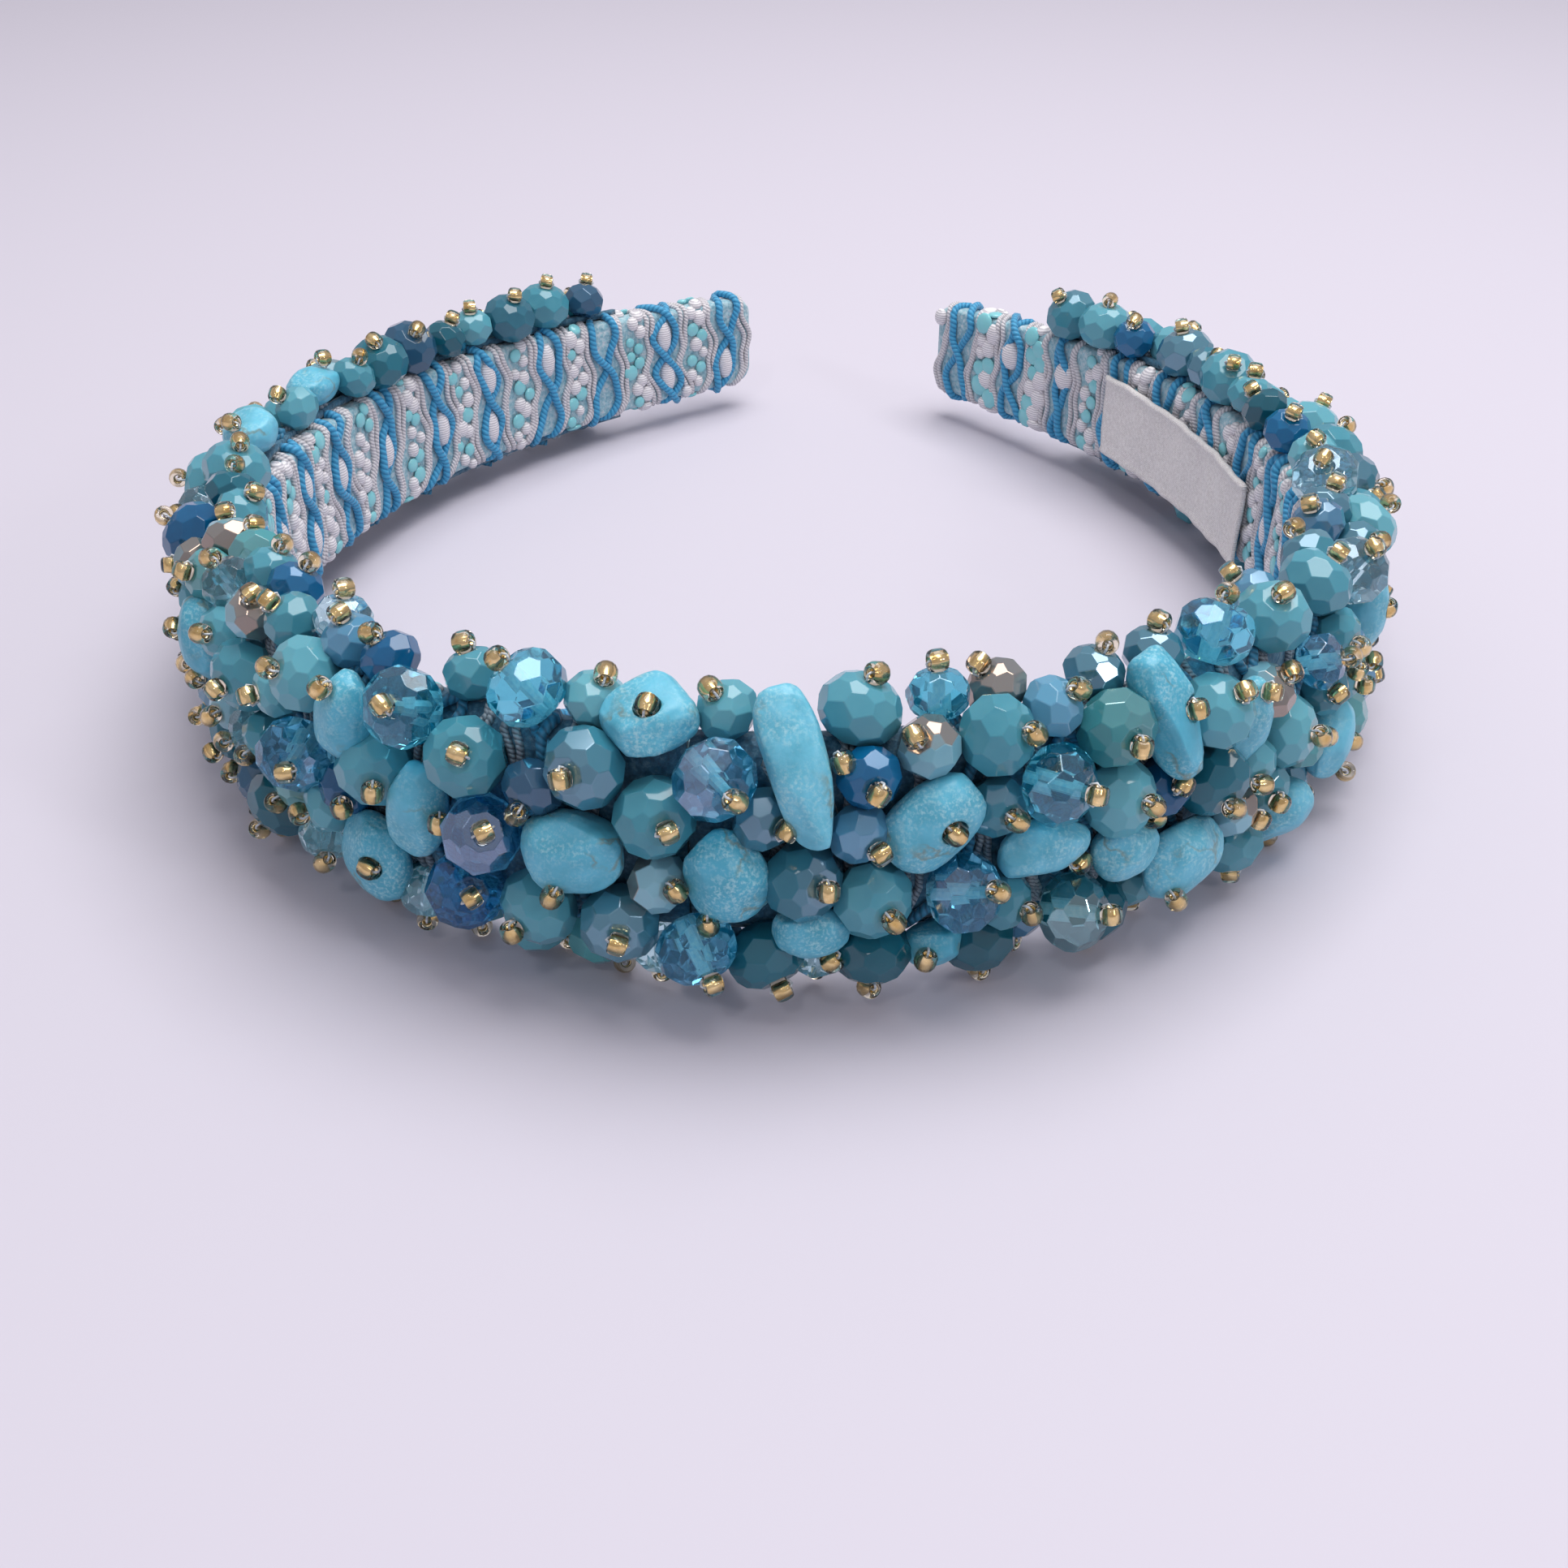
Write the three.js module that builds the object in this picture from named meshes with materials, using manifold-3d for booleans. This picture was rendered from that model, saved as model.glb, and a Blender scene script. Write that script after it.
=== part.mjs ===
import * as THREE from "three";
import { mergeVertices } from "three/addons/utils/BufferGeometryUtils.js";
import Module from "manifold-3d";

// Jeweled headband: a padded, braid-covered hoop with cut glass beads and tumbled turquoise
// stones stitched all over its outer side. It lies on its lower edge, crown towards -Y and
// open ends towards +Y. Millimetres, +Z up.

// Driving dimensions of the hoop
const HALF_LENGTH = 200; // inner face of the band, from the middle of the crown to one end
const TURN_FIRST = 3.23; // direction of the inner face in radians, by the share of the half length
const TURN_THIRD = -0.523;
const TURN_FIFTH = -0.246;
const CROWN_Y = -60; // inner face of the band at the middle of the crown
const LEAN = THREE.MathUtils.degToRad(2.45); // the tapering hoop settles this far towards its ends
const SIDE_LEAN = THREE.MathUtils.degToRad(-0.47); // and this far about +Y, onto its left crown

// Driving dimensions of the band
const BAND_THICK = 3.6;
const BAND_HALF_CROWN = 9.6;
const BAND_HALF_END = 7.0;
const BAND_CORNER = BAND_THICK / 2;
const STATION_PITCH = 7.8; // the band and its cloth bend at the same places
const TIP_ROUND = 1.6;

// Driving dimensions of the stones and the cloth that they are stitched to
const FIT_GAP = 0.3;
const CLOTH_THICK = 1.0;
const CLOTH_REACH = 175; // how far the beaded cloth runs towards each end
const BEAD_SIZES = {
  large: { radius: 3.85, halfHeight: 3.0 },
  small: { radius: 2.9, halfHeight: 2.3 },
};
const STITCH_SINK = 0.4; // a fused bead is pulled this far into the cloth
const SEAT = FIT_GAP + CLOTH_THICK; // cloth surface above the band's surface
const BEAD_LEVEL = SEAT + BEAD_SIZES.large.halfHeight - STITCH_SINK; // bead centres above the band
const BEAD_SIDES = 8;
const TABLE_SHARE = 0.5; // table's radius by the bead's
const GIRDLE_SHARE = 0.3; // girdle's height by the bead's
const ROOT_SHARE = 0.7; // stitched bead's radius where it meets the cloth

// Rows of filling beads
const ROW_SHARES = [-1, -0.6, -0.2, 0.2, 0.6, 1]; // share of the way from the middle to an edge
const ROW_PITCH = 6.8;
const ROW_REACH = 172;
const LARGE_SHARE = 0.44;
const PUSH_ROUNDS = 40;
const PUSH_GAP = 0.1;
const TAKEN_SHARE = 0.78; // a place is taken by a charted stone nearer than this share of touching

// How far beads go round the lower edge, as [along, mm past the flat of the outer face]. The photo
// shows the lower edge of the left arm bare, and that of the right arm nearly so.
const LOWER_EDGE = [[-80, 1.5], [-45, 9], [80, 9], [100, 5], [148, 5], [156, 1.5]];
const EDGE_SPARE = 4.5; // a bead this little past the lower edge's limit is moved up to it

// Driving dimensions of the label
const LABEL = { from: 121, to: 160, halfWidth: 6.0, thick: 1.0, startZ: -3.0, endZ: 0.0 };

// Tumbled stones, each a piece of its own. along: mm from the crown's middle along the inner
// face, positive towards +X. across: mm round the section from the middle of the outer face,
// positive up. turn: degrees from upright to the long axis, clockwise as seen from outside.
// square: roundness power. taper: positive narrows the top.
const NUGGET_COLUMNS = ["along", "across", "long", "wide", "thick", "turn", "square", "taper"];
const NUGGETS = [
  [-3.1, 14.3, 8.1, 7.9, 5.4, 45, 3.4, 0],
  [9.6, 10.2, 15.5, 5.8, 5.2, -16, 3.0, -0.15],
  [-9.4, 0, 9.9, 8.2, 6.0, 82, 2.8, 0.1],
  [3.6, -1, 9.8, 8.0, 6.0, -18, 2.3, 0.3],
  [10.7, -7.8, 7.4, 5.6, 4.6, 95, 2.3, 0.1],
  [20.8, 3.8, 11.0, 7.8, 5.6, 45, 2.4, 0.1],
  [31.2, -1.3, 9.6, 5.8, 4.8, 80, 2.4, 0.15],
  [22, -12.8, 6.8, 6.2, 4.6, 170, 2.4, 0.45],
  [43.2, 9.7, 13.4, 5.6, 5.4, -14, 3.6, 0],
  [54.8, 4.7, 9.0, 5.6, 4.2, 4, 2.6, 0],
  [75, -7.5, 9.5, 7.0, 5.6, 30, 2.3, 0.1],
  [65, -11.5, 9.0, 8.2, 6.0, 0, 2.2, 0.35],
  [47, -7.8, 10.4, 8.2, 5.6, 76, 2.2, 0.45],
  [39.8, -4.3, 7.4, 5.8, 5.0, 80, 2.4, 0.1],
  [-32.2, 8.2, 9.6, 6.4, 5.6, 8, 2.4, 0],
  [-25, 0.1, 11.0, 6.4, 5.0, 13, 2.4, 0],
  [-31, -7.9, 10.2, 8.8, 4.8, 0, 2.2, 0],
  [-62, 4, 9.5, 7.8, 6.0, -20, 2.3, 0],
  [86, 3, 11.0, 6.0, 5.6, 0, 2.4, 0],
  [-98, 14.2, 8.6, 7.0, 5.6, 60, 2.3, 0],
  [-116, 14, 9.0, 6.4, 5.2, 80, 2.4, 0.1],
  [-80, -3, 9.0, 7.0, 5.4, 25, 2.4, 0.1],
  [104, -6, 9.6, 6.6, 5.2, -30, 2.3, 0.2],
  [128, 2, 10.4, 6.4, 5.2, 70, 2.6, 0],
  [-134, -1, 9.8, 6.8, 5.4, -50, 2.4, 0.2],
  [151, 3, 9.0, 7.0, 5.4, 15, 2.3, 0.1],
  [-156, -5, 8.8, 6.6, 5.2, 85, 2.5, 0],
].map((row) => named(NUGGET_COLUMNS, row));

// Clear cut crystals, each a piece of its own. toward: degrees from upright to the way that the
// hole leans, clockwise as seen from outside. lean: degrees between the hole and straight out.
const BEAD_COLUMNS = ["finish", "size", "along", "across", "toward", "lean"];
const CRYSTALS = [
  ["aqua", "large", -14.5, 15, 278, 42],
  ["violet", "large", 2.9, 9.3, 115, 38],
  ["violet", "large", 1.0, -9.2, 127, 38],
  ["aqua", "small", 22.7, 17.2, 0, 8],
  ["aqua", "large", 31.5, 6.2, 85, 34],
  ["violet", "large", 23.6, -4.1, 57, 45],
  ["green", "large", 34.4, -9.2, 55, 46],
  ["aqua", "large", 52, 14.8, 50, 32],
  ["violet", "small", 67.2, 6, 40, 25],
  ["clear", "small", -40, 17.6, 0, 0],
  ["aqua", "large", -25.4, 10.9, 95, 10],
  ["azure", "large", -17.6, 0.2, 40, 50],
  ["violet", "large", -39.8, 0.8, 85, 42],
].map((row) => named(BEAD_COLUMNS, row));

// Cut beads charted from the front, fused to their cloth
const CHARTED_BEADS = [
  ["turquoise", "small", -8.7, 16.5, 90, 22],
  ["turquoise", "small", 3.3, 16.6, 235, 30],
  ["turquoise", "large", 15.2, 16, 70, 24],
  ["lustre", "large", -8.2, 9, 270, 13],
  ["dusk", "small", -13, 5.8, 200, 30],
  ["azure", "small", 15.4, 8.9, 150, 12],
  ["turquoise", "large", -2.3, 4.5, 72, 32],
  ["lustre", "small", 6.7, 4.7, 85, 43],
  ["lustre", "large", 10, -2, 70, 37],
  ["bronze", "small", -2.3, -3, 72, 46],
  ["sky", "small", 14.7, 2.9, 115, 33],
  ["turquoise", "large", 16, -4.5, 100, 20],
  ["turquoise", "large", -13.3, -7.7, 230, 26],
  ["lustre", "large", -5.8, -8.1, 60, 15],
  ["deep", "large", 6.8, -12.3, 90, 25],
  ["deep", "large", 16.2, -12, 190, 30],
  ["clear", "small", 11.5, -14.5, 180, 40],
  ["clear", "small", -3, -14, 180, 30],
  ["bronze", "small", 28.8, 18, 265, 35],
  ["bronze", "small", 20.6, 11.4, 293, 39],
  ["turquoise", "large", 26.6, 11.6, 108, 40],
  ["sky", "small", 32.5, 13.4, 90, 32],
  ["lustre", "small", 38.5, 16.5, 95, 20],
  ["green", "large", 37.8, 9.8, 180, 22],
  ["lustre", "small", 26.6, 4.1, 80, 13],
  ["turquoise", "large", 38.6, 2, 65, 22],
  ["lustre", "small", 27.9, -7, 98, 34],
  ["deep", "large", 26.5, -13.5, 170, 25],
  ["deep", "large", 38.5, -13.5, 180, 30],
  ["lustre", "small", 46, 16.8, 90, 10],
  ["turquoise", "large", 49.5, 7.8, 15, 50],
  ["turquoise", "large", 61.3, 13.7, 300, 18],
  ["sky", "small", 64, 18, 330, 30],
  ["turquoise", "large", 71.5, 13.5, 80, 24],
  ["bronze", "small", 57.6, 6.7, 22, 55],
  ["turquoise", "large", 61.9, 0.1, 55, 12],
  ["deep", "large", 50.2, -0.4, 200, 25],
  ["turquoise", "large", 56.5, -12, 180, 30],
  ["bronze", "small", 54.5, -6, 120, 40],
  ["azure", "small", 43.8, 1.2, 0, 30],
  ["sky", "small", -36, 15.5, 270, 10],
  ["azure", "small", -30.4, 15.3, 260, 24],
  ["turquoise", "small", -21.5, 17, 275, 20],
  ["turquoise", "large", -19.2, 7.7, 30, 42],
  ["turquoise", "large", -29.6, 3.0, 100, 40],
  ["azure", "large", -20.7, -8, 60, 50],
  ["clear", "small", -26.5, -12, 180, 35],
  ["turquoise", "small", -44.5, 14.2, 235, 20],
  ["bronze", "small", -50, 12.3, 40, 40],
  ["turquoise", "large", -50, 5, 100, 14],
  ["turquoise", "large", -38.6, 10, 285, 14],
  ["turquoise", "small", -47.6, -1.5, 200, 30],
  ["deep", "large", -46.5, -9, 200, 30],
  ["clear", "small", -39, -9.5, 120, 40],
  ["turquoise", "small", -55.5, 17.3, 0, 20],
  ["azure", "small", -50.5, 18, 30, 20],
  ["clear", "small", -58, 12.5, 320, 20],
  ["bronze", "small", -66, 15, 300, 30],
  ["azure", "large", -75, 10, 300, 20],
  ["turquoise", "small", -73, 17, 20, 30],
  ["turquoise", "large", -86, 15.5, 20, 25],
  ["turquoise", "large", 93, 10, 40, 25],
  ["sky", "small", 86, 16.5, 310, 30],
  ["clear", "large", 100, 15.5, 300, 40],
  ["turquoise", "large", 113, 11, 60, 30],
  ["lustre", "large", 148.5, 14.5, 30, 20],
  ["turquoise", "large", -162.5, 14, 340, 20],
  ["turquoise", "small", 146, -11.3, 180, 25],
  ["deep", "small", 138, -11.5, 200, 30],
  ["turquoise", "large", 130, -11.5, 160, 30],
  ["azure", "small", 122.5, -11.9, 180, 30],
  ["turquoise", "large", 115, -11.9, 190, 25],
  ["lustre", "small", 107.5, -12.2, 170, 30],
].map((row) => named(BEAD_COLUMNS, row));

// Colour, roughness and metalness of each finish
const FINISHES = {
  turquoise: { color: 0x4a9aa0, roughness: 0.3, metalness: 0 },
  deep: { color: 0x2d7c84, roughness: 0.3, metalness: 0 },
  lustre: { color: 0x5590a0, roughness: 0.22, metalness: 0.15 },
  dusk: { color: 0x5f8098, roughness: 0.22, metalness: 0.15 },
  green: { color: 0x559a90, roughness: 0.22, metalness: 0.1 },
  sky: { color: 0x6fb0dc, roughness: 0.15, metalness: 0 },
  azure: { color: 0x0a78b8, roughness: 0.1, metalness: 0 },
  bronze: { color: 0x8a6f70, roughness: 0.2, metalness: 0.4 },
  aqua: { color: 0x2fa9d6, roughness: 0.05, metalness: 0 },
  violet: { color: 0x6f9fd0, roughness: 0.05, metalness: 0.1 },
  clear: { color: 0x9cc4d6, roughness: 0.05, metalness: 0 },
  nugget: { color: 0x55aec0, roughness: 0.45, metalness: 0 },
  braid: { color: 0x9fb4c0, roughness: 0.8, metalness: 0 },
  label: { color: 0xd8d3d2, roughness: 0.9, metalness: 0 },
  field: { color: 0x4a94a4, roughness: 0.3, metalness: 0 },
};

function named(columns, row) {
  return Object.fromEntries(columns.map((column, place) => [column, row[place]]));
}

// Hoop curve

function heading(along) {
  const share = along / HALF_LENGTH;
  return TURN_FIRST * share + TURN_THIRD * share ** 3 + TURN_FIFTH * share ** 5;
}

// Point on the inner face at mid height, found by summing short steps from the crown
function hoopPoint(along) {
  const steps = Math.max(1, Math.ceil(Math.abs(along) / 2));
  const step = along / steps;
  const point = new THREE.Vector3(0, CROWN_Y, 0);
  for (let index = 0; index < steps; index += 1) {
    const angle = heading((index + 0.5) * step);
    point.x += Math.cos(angle) * step;
    point.y += Math.sin(angle) * step;
  }
  return point;
}

function hoopFrame(along) {
  const angle = heading(along);
  return {
    point: hoopPoint(along),
    forward: new THREE.Vector3(Math.cos(angle), Math.sin(angle), 0),
    outward: new THREE.Vector3(Math.sin(angle), -Math.cos(angle), 0),
  };
}

// Section of the band

function bandHalf(along) {
  const share = Math.min(1, Math.abs(along) / HALF_LENGTH);
  return BAND_HALF_END + (BAND_HALF_CROWN - BAND_HALF_END) * (1 - share * share);
}

// Distance round the section from the middle of the outer face to an edge, at bead level
function halfGirth(along) {
  return bandHalf(along) - BAND_CORNER + (BAND_CORNER + BEAD_LEVEL) * (Math.PI / 2);
}

// Lowest place round the section that a bead's centre may take, as a distance below the middle
function lowerReach(along) {
  const after = LOWER_EDGE.findIndex(([place]) => place > along);
  let past = LOWER_EDGE.at(-1)[1];
  if (after === 0) {
    past = LOWER_EDGE[0][1];
  } else if (after > 0) {
    const [[from, first], [to, second]] = [LOWER_EDGE[after - 1], LOWER_EDGE[after]];
    past = first + ((second - first) * (along - from)) / (to - from);
  }
  return bandHalf(along) - BAND_CORNER + past;
}

// Place and directions on the band's outside: `level` above its surface, `across` round it
function seatFrame(along, across, level) {
  const flat = bandHalf(along) - BAND_CORNER;
  const side = Math.sign(across);
  const past = Math.max(0, Math.abs(across) - flat) / (BAND_CORNER + BEAD_LEVEL);
  const reach = BAND_CORNER + level;
  const rise = past > 0 ? side * (flat + reach * Math.sin(past)) : across;
  const { point, forward, outward } = hoopFrame(along);
  const normal = outward.clone().multiplyScalar(Math.cos(past));
  normal.z = side * Math.sin(past);
  const position = point.clone().addScaledVector(outward, BAND_CORNER + reach * Math.cos(past));
  position.z = rise;
  const upward = new THREE.Vector3().crossVectors(normal, forward);
  return { position, forward, upward, normal };
}

// Solids and booleans

const wasm = await Module();
wasm.setup();

function plain(geometry) {
  geometry.deleteAttribute("normal");
  geometry.deleteAttribute("uv");
  const merged = mergeVertices(geometry.index ? geometry.toNonIndexed() : geometry, 1e-4);
  const kept = [];
  const index = merged.index.array;
  for (let at = 0; at < index.length; at += 3) {
    const [a, b, c] = [index[at], index[at + 1], index[at + 2]];
    if (a !== b && b !== c && c !== a) {
      kept.push(a, b, c);
    }
  }
  merged.setIndex(kept);
  return merged;
}

function toSolid(geometry) {
  const clean = plain(geometry);
  return new wasm.Manifold(new wasm.Mesh({
    numProp: 3,
    vertProperties: new Float32Array(clean.attributes.position.array),
    triVerts: new Uint32Array(clean.index.array),
  }));
}

function toGeometry(solid) {
  const mesh = solid.getMesh();
  const positions = new Float32Array(mesh.numVert * 3);
  for (let vertex = 0; vertex < mesh.numVert; vertex += 1) {
    for (let axis = 0; axis < 3; axis += 1) {
      positions[vertex * 3 + axis] = mesh.vertProperties[vertex * mesh.numProp + axis];
    }
  }
  const geometry = new THREE.BufferGeometry();
  geometry.setAttribute("position", new THREE.BufferAttribute(positions, 3));
  geometry.setIndex(Array.from(mesh.triVerts));
  return geometry;
}

function largestPiece(solid) {
  const pieces = solid.decompose();
  pieces.sort((first, second) => second.volume() - first.volume());
  return pieces[0];
}

// Closed sweep of one ring of points per station, with flat ends
function sweep(rings) {
  const count = rings[0].length;
  const positions = rings.flat().flatMap((point) => [point.x, point.y, point.z]);
  const index = [];
  for (let row = 0; row + 1 < rings.length; row += 1) {
    for (let at = 0; at < count; at += 1) {
      const next = (at + 1) % count;
      const [a, b] = [row * count + at, row * count + next];
      const [c, d] = [a + count, b + count];
      index.push(a, d, b, a, c, d);
    }
  }
  for (const [a, b, c] of THREE.ShapeUtils.triangulateShape(flatRing(rings[0]), [])) {
    index.push(a, b, c);
  }
  const last = (rings.length - 1) * count;
  for (const [a, b, c] of THREE.ShapeUtils.triangulateShape(flatRing(rings.at(-1)), [])) {
    index.push(last + c, last + b, last + a);
  }
  const geometry = new THREE.BufferGeometry();
  geometry.setAttribute("position", new THREE.Float32BufferAttribute(positions, 3));
  geometry.setIndex(index);
  return geometry;
}

// The ring's outline in its own plane, so that its end can be filled
function flatRing(ring) {
  return ring.map((point) => point.flat);
}

// A section given as [depth, height] pairs, placed at one station
function placeRing(along, section) {
  const { point, outward } = hoopFrame(along);
  return section.map(([depth, height]) => {
    const placed = point.clone().addScaledVector(outward, depth);
    placed.z = height;
    return Object.assign(placed, { flat: new THREE.Vector2(depth, height) });
  });
}

// Corner of a section as three points, from `start` to `start + 90` degrees
function cornerPoints(depth, height, radius, start) {
  return [0, 45, 90].map((step) => {
    const angle = THREE.MathUtils.degToRad(start + step);
    return [depth + radius * Math.cos(angle), height + radius * Math.sin(angle)];
  });
}

// Rounded strip, softer on its outer side, drawn in by `inset` all round
function bandSection(along, inset) {
  const half = bandHalf(along) - inset;
  const near = inset / 2;
  const far = BAND_THICK - inset / 2;
  const outer = (far - near) * 0.45;
  const inner = (far - near) * 0.25;
  return [
    ...cornerPoints(far - outer, -half + outer, outer, -90),
    ...cornerPoints(far - outer, half - outer, outer, 0),
    [near + inner, half],
    [near, half - inner],
    [near, -half + inner],
    [near + inner, -half],
  ];
}

// Places along the hoop where a swept strip bends, from one end of the strip to the other
function stations(from, to) {
  const places = [from];
  const last = Math.ceil(to / STATION_PITCH);
  for (let at = Math.floor(from / STATION_PITCH); at <= last; at += 1) {
    const along = (at + 0.5) * STATION_PITCH;
    if (along > from + 1 && along < to - 1) {
      places.push(along);
    }
  }
  return [...places, to];
}

function bandGeometry() {
  const reach = HALF_LENGTH - TIP_ROUND;
  return sweep([
    placeRing(-HALF_LENGTH, bandSection(-HALF_LENGTH, TIP_ROUND)),
    ...stations(-reach, reach).map((along) => placeRing(along, bandSection(along, 0))),
    placeRing(HALF_LENGTH, bandSection(HALF_LENGTH, TIP_ROUND)),
  ]);
}

// Open channel of cloth that wraps the band's outer face and both its edges
function clothSection(along) {
  const flat = bandHalf(along) - BAND_CORNER;
  const outer = BAND_CORNER + SEAT;
  const inner = BAND_CORNER + FIT_GAP;
  return [
    ...cornerPoints(BAND_CORNER, -flat, outer, -90),
    ...cornerPoints(BAND_CORNER, flat, outer, 0),
    ...cornerPoints(BAND_CORNER, flat, inner, 0).reverse(),
    ...cornerPoints(BAND_CORNER, -flat, inner, -90).reverse(),
  ];
}

// Space inside the cloth, which belongs to the band and the gap round it
function insideSection(along) {
  const flat = bandHalf(along) - BAND_CORNER;
  const inner = BAND_CORNER + FIT_GAP;
  return [
    ...cornerPoints(BAND_CORNER, -flat, inner, -90),
    ...cornerPoints(BAND_CORNER, flat, inner, 0),
    [-FIT_GAP, flat + inner],
    [-FIT_GAP, -flat - inner],
  ];
}

function insideSolid() {
  const places = stations(-HALF_LENGTH, HALF_LENGTH);
  return toSolid(sweep(places.map((along) => placeRing(along, insideSection(along)))));
}

function clothSolid(from, to) {
  return toSolid(sweep(stations(from, to).map((along) => placeRing(along, clothSection(along)))));
}

// Stones

// Ring of a cut bead, `radius` from its hole and `height` along it
function beadRing(radius, height) {
  return Array.from({ length: BEAD_SIDES }, (unused, side) => {
    const angle = (side * 2 * Math.PI) / BEAD_SIDES;
    const corner = new THREE.Vector3(radius * Math.cos(angle), radius * Math.sin(angle), height);
    return Object.assign(corner, { flat: new THREE.Vector2(corner.x, corner.y) });
  });
}

// Cut bead along +Z: a flat table at each end of its hole, crown facets and a girdle
function beadGeometry(size, grow = 0) {
  const radius = BEAD_SIZES[size].radius + grow;
  const half = BEAD_SIZES[size].halfHeight + grow;
  return sweep([
    beadRing(radius * TABLE_SHARE, -half),
    beadRing(radius, -half * GIRDLE_SHARE),
    beadRing(radius, half * GIRDLE_SHARE),
    beadRing(radius * TABLE_SHARE, half),
  ].reverse());
}

// Bead as it shows above its cloth: the hidden lower half runs straight down
function stitchedBeadGeometry(size, grow = 0) {
  const radius = BEAD_SIZES[size].radius + grow;
  const half = BEAD_SIZES[size].halfHeight + grow;
  return sweep([
    beadRing(radius * ROOT_SHARE, -half),
    beadRing(radius, half * GIRDLE_SHARE),
    beadRing(radius * TABLE_SHARE, half),
  ].reverse());
}

// Tumbled stone: a ball squared towards a pillow, tapered along its long axis
function nuggetGeometry(nugget, grow = 0) {
  const geometry = new THREE.SphereGeometry(1, 10, 5);
  const place = geometry.attributes.position;
  const square = (value) => Math.sign(value) * Math.abs(value) ** (2 / nugget.square);
  for (let vertex = 0; vertex < place.count; vertex += 1) {
    const along = square(place.getY(vertex));
    const narrow = 1 - nugget.taper * 0.5 * along;
    place.setXYZ(
      vertex,
      square(place.getX(vertex)) * narrow * (nugget.wide / 2 + grow),
      along * (nugget.long / 2 + grow),
      place.getZ(vertex) * (nugget.thick / 2 + grow),
    );
  }
  return geometry;
}

// How far a leaning bead reaches from its centre towards flat cloth: its table's rim or its girdle
function beadDrop(bead) {
  const { radius, halfHeight } = BEAD_SIZES[bead.size];
  const lean = THREE.MathUtils.degToRad(bead.lean);
  const table = halfHeight * Math.cos(lean) + radius * TABLE_SHARE * Math.sin(lean);
  const girdle = halfHeight * GIRDLE_SHARE * Math.cos(lean) + radius * Math.sin(lean);
  return Math.max(table, girdle);
}

function beadMatrix(bead, level) {
  const { position, forward, upward, normal } = seatFrame(bead.along, bead.across, level);
  const toward = THREE.MathUtils.degToRad(bead.toward);
  const lean = THREE.MathUtils.degToRad(bead.lean);
  const leaning = upward.clone().multiplyScalar(Math.cos(toward));
  leaning.addScaledVector(forward, Math.sin(toward));
  const axis = normal.clone().multiplyScalar(Math.cos(lean)).addScaledVector(leaning, Math.sin(lean));
  const side = new THREE.Vector3().crossVectors(upward, axis).normalize();
  const back = new THREE.Vector3().crossVectors(axis, side);
  return new THREE.Matrix4().makeBasis(side, back, axis).setPosition(position);
}

function nuggetMatrix(nugget) {
  const level = SEAT + FIT_GAP + nugget.thick / 2;
  const { position, forward, upward, normal } = seatFrame(nugget.along, nugget.across, level);
  const turn = THREE.MathUtils.degToRad(nugget.turn);
  const tall = upward.clone().multiplyScalar(Math.cos(turn)).addScaledVector(forward, Math.sin(turn));
  const side = new THREE.Vector3().crossVectors(tall, normal);
  return new THREE.Matrix4().makeBasis(side, tall, normal).setPosition(position);
}

function crystalLevel(crystal) {
  return SEAT + FIT_GAP + beadDrop(crystal);
}

// Filling beads: staggered rows, pushed clear of the charted stones and of each other

function chance(index, salt) {
  let mixed = (Math.imul(index + 1, 374761393) + Math.imul(salt + 1, 668265263)) | 0;
  mixed = Math.imul(mixed ^ (mixed >>> 13), 1274126177);
  return ((mixed ^ (mixed >>> 16)) >>> 0) / 4294967296;
}

// The cloth's outside is longer than the inner face by this share
function stretch(along) {
  const share = along / HALF_LENGTH;
  const bend = (TURN_FIRST + 3 * TURN_THIRD * share ** 2 + 5 * TURN_FIFTH * share ** 4) / HALF_LENGTH;
  return 1 + bend * (BAND_THICK + BEAD_LEVEL);
}

function footprint(stone) {
  return stone.size ? BEAD_SIZES[stone.size].radius : (stone.long + stone.wide) / 4;
}

function apart(first, second) {
  const alongStep = (second.along - first.along) * stretch((first.along + second.along) / 2);
  const acrossStep = second.across - first.across;
  return { alongStep, acrossStep, distance: Math.hypot(alongStep, acrossStep) };
}

function fillingBeads() {
  const fixed = [...NUGGETS, ...CRYSTALS, ...CHARTED_BEADS];
  const loose = [];
  const perRow = Math.floor((2 * ROW_REACH) / ROW_PITCH) + 1;
  ROW_SHARES.forEach((share, row) => {
    for (let at = 0; at < perRow; at += 1) {
      const index = row * perRow + at;
      const along = -ROW_REACH + (at + 0.5 * (row % 2)) * ROW_PITCH + (chance(index, 0) - 0.5) * 2;
      const across = share * halfGirth(along) + (chance(index, 1) - 0.5) * 2;
      const size = chance(index, 2) < LARGE_SHARE ? "large" : "small";
      const bead = { index, size, along, across, toward: 360 * chance(index, 3) };
      bead.lean = 10 + 35 * chance(index, 4);
      const clear = fixed.every((stone) => (
        apart(bead, stone).distance > TAKEN_SHARE * (footprint(bead) + footprint(stone))
      ));
      const within = across > -lowerReach(along) - EDGE_SPARE && Math.abs(along) < ROW_REACH;
      if (clear && within) {
        loose.push(bead);
      }
    }
  });
  for (let round = 0; round < PUSH_ROUNDS; round += 1) {
    pushApart(loose, fixed);
  }
  return loose;
}

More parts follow.
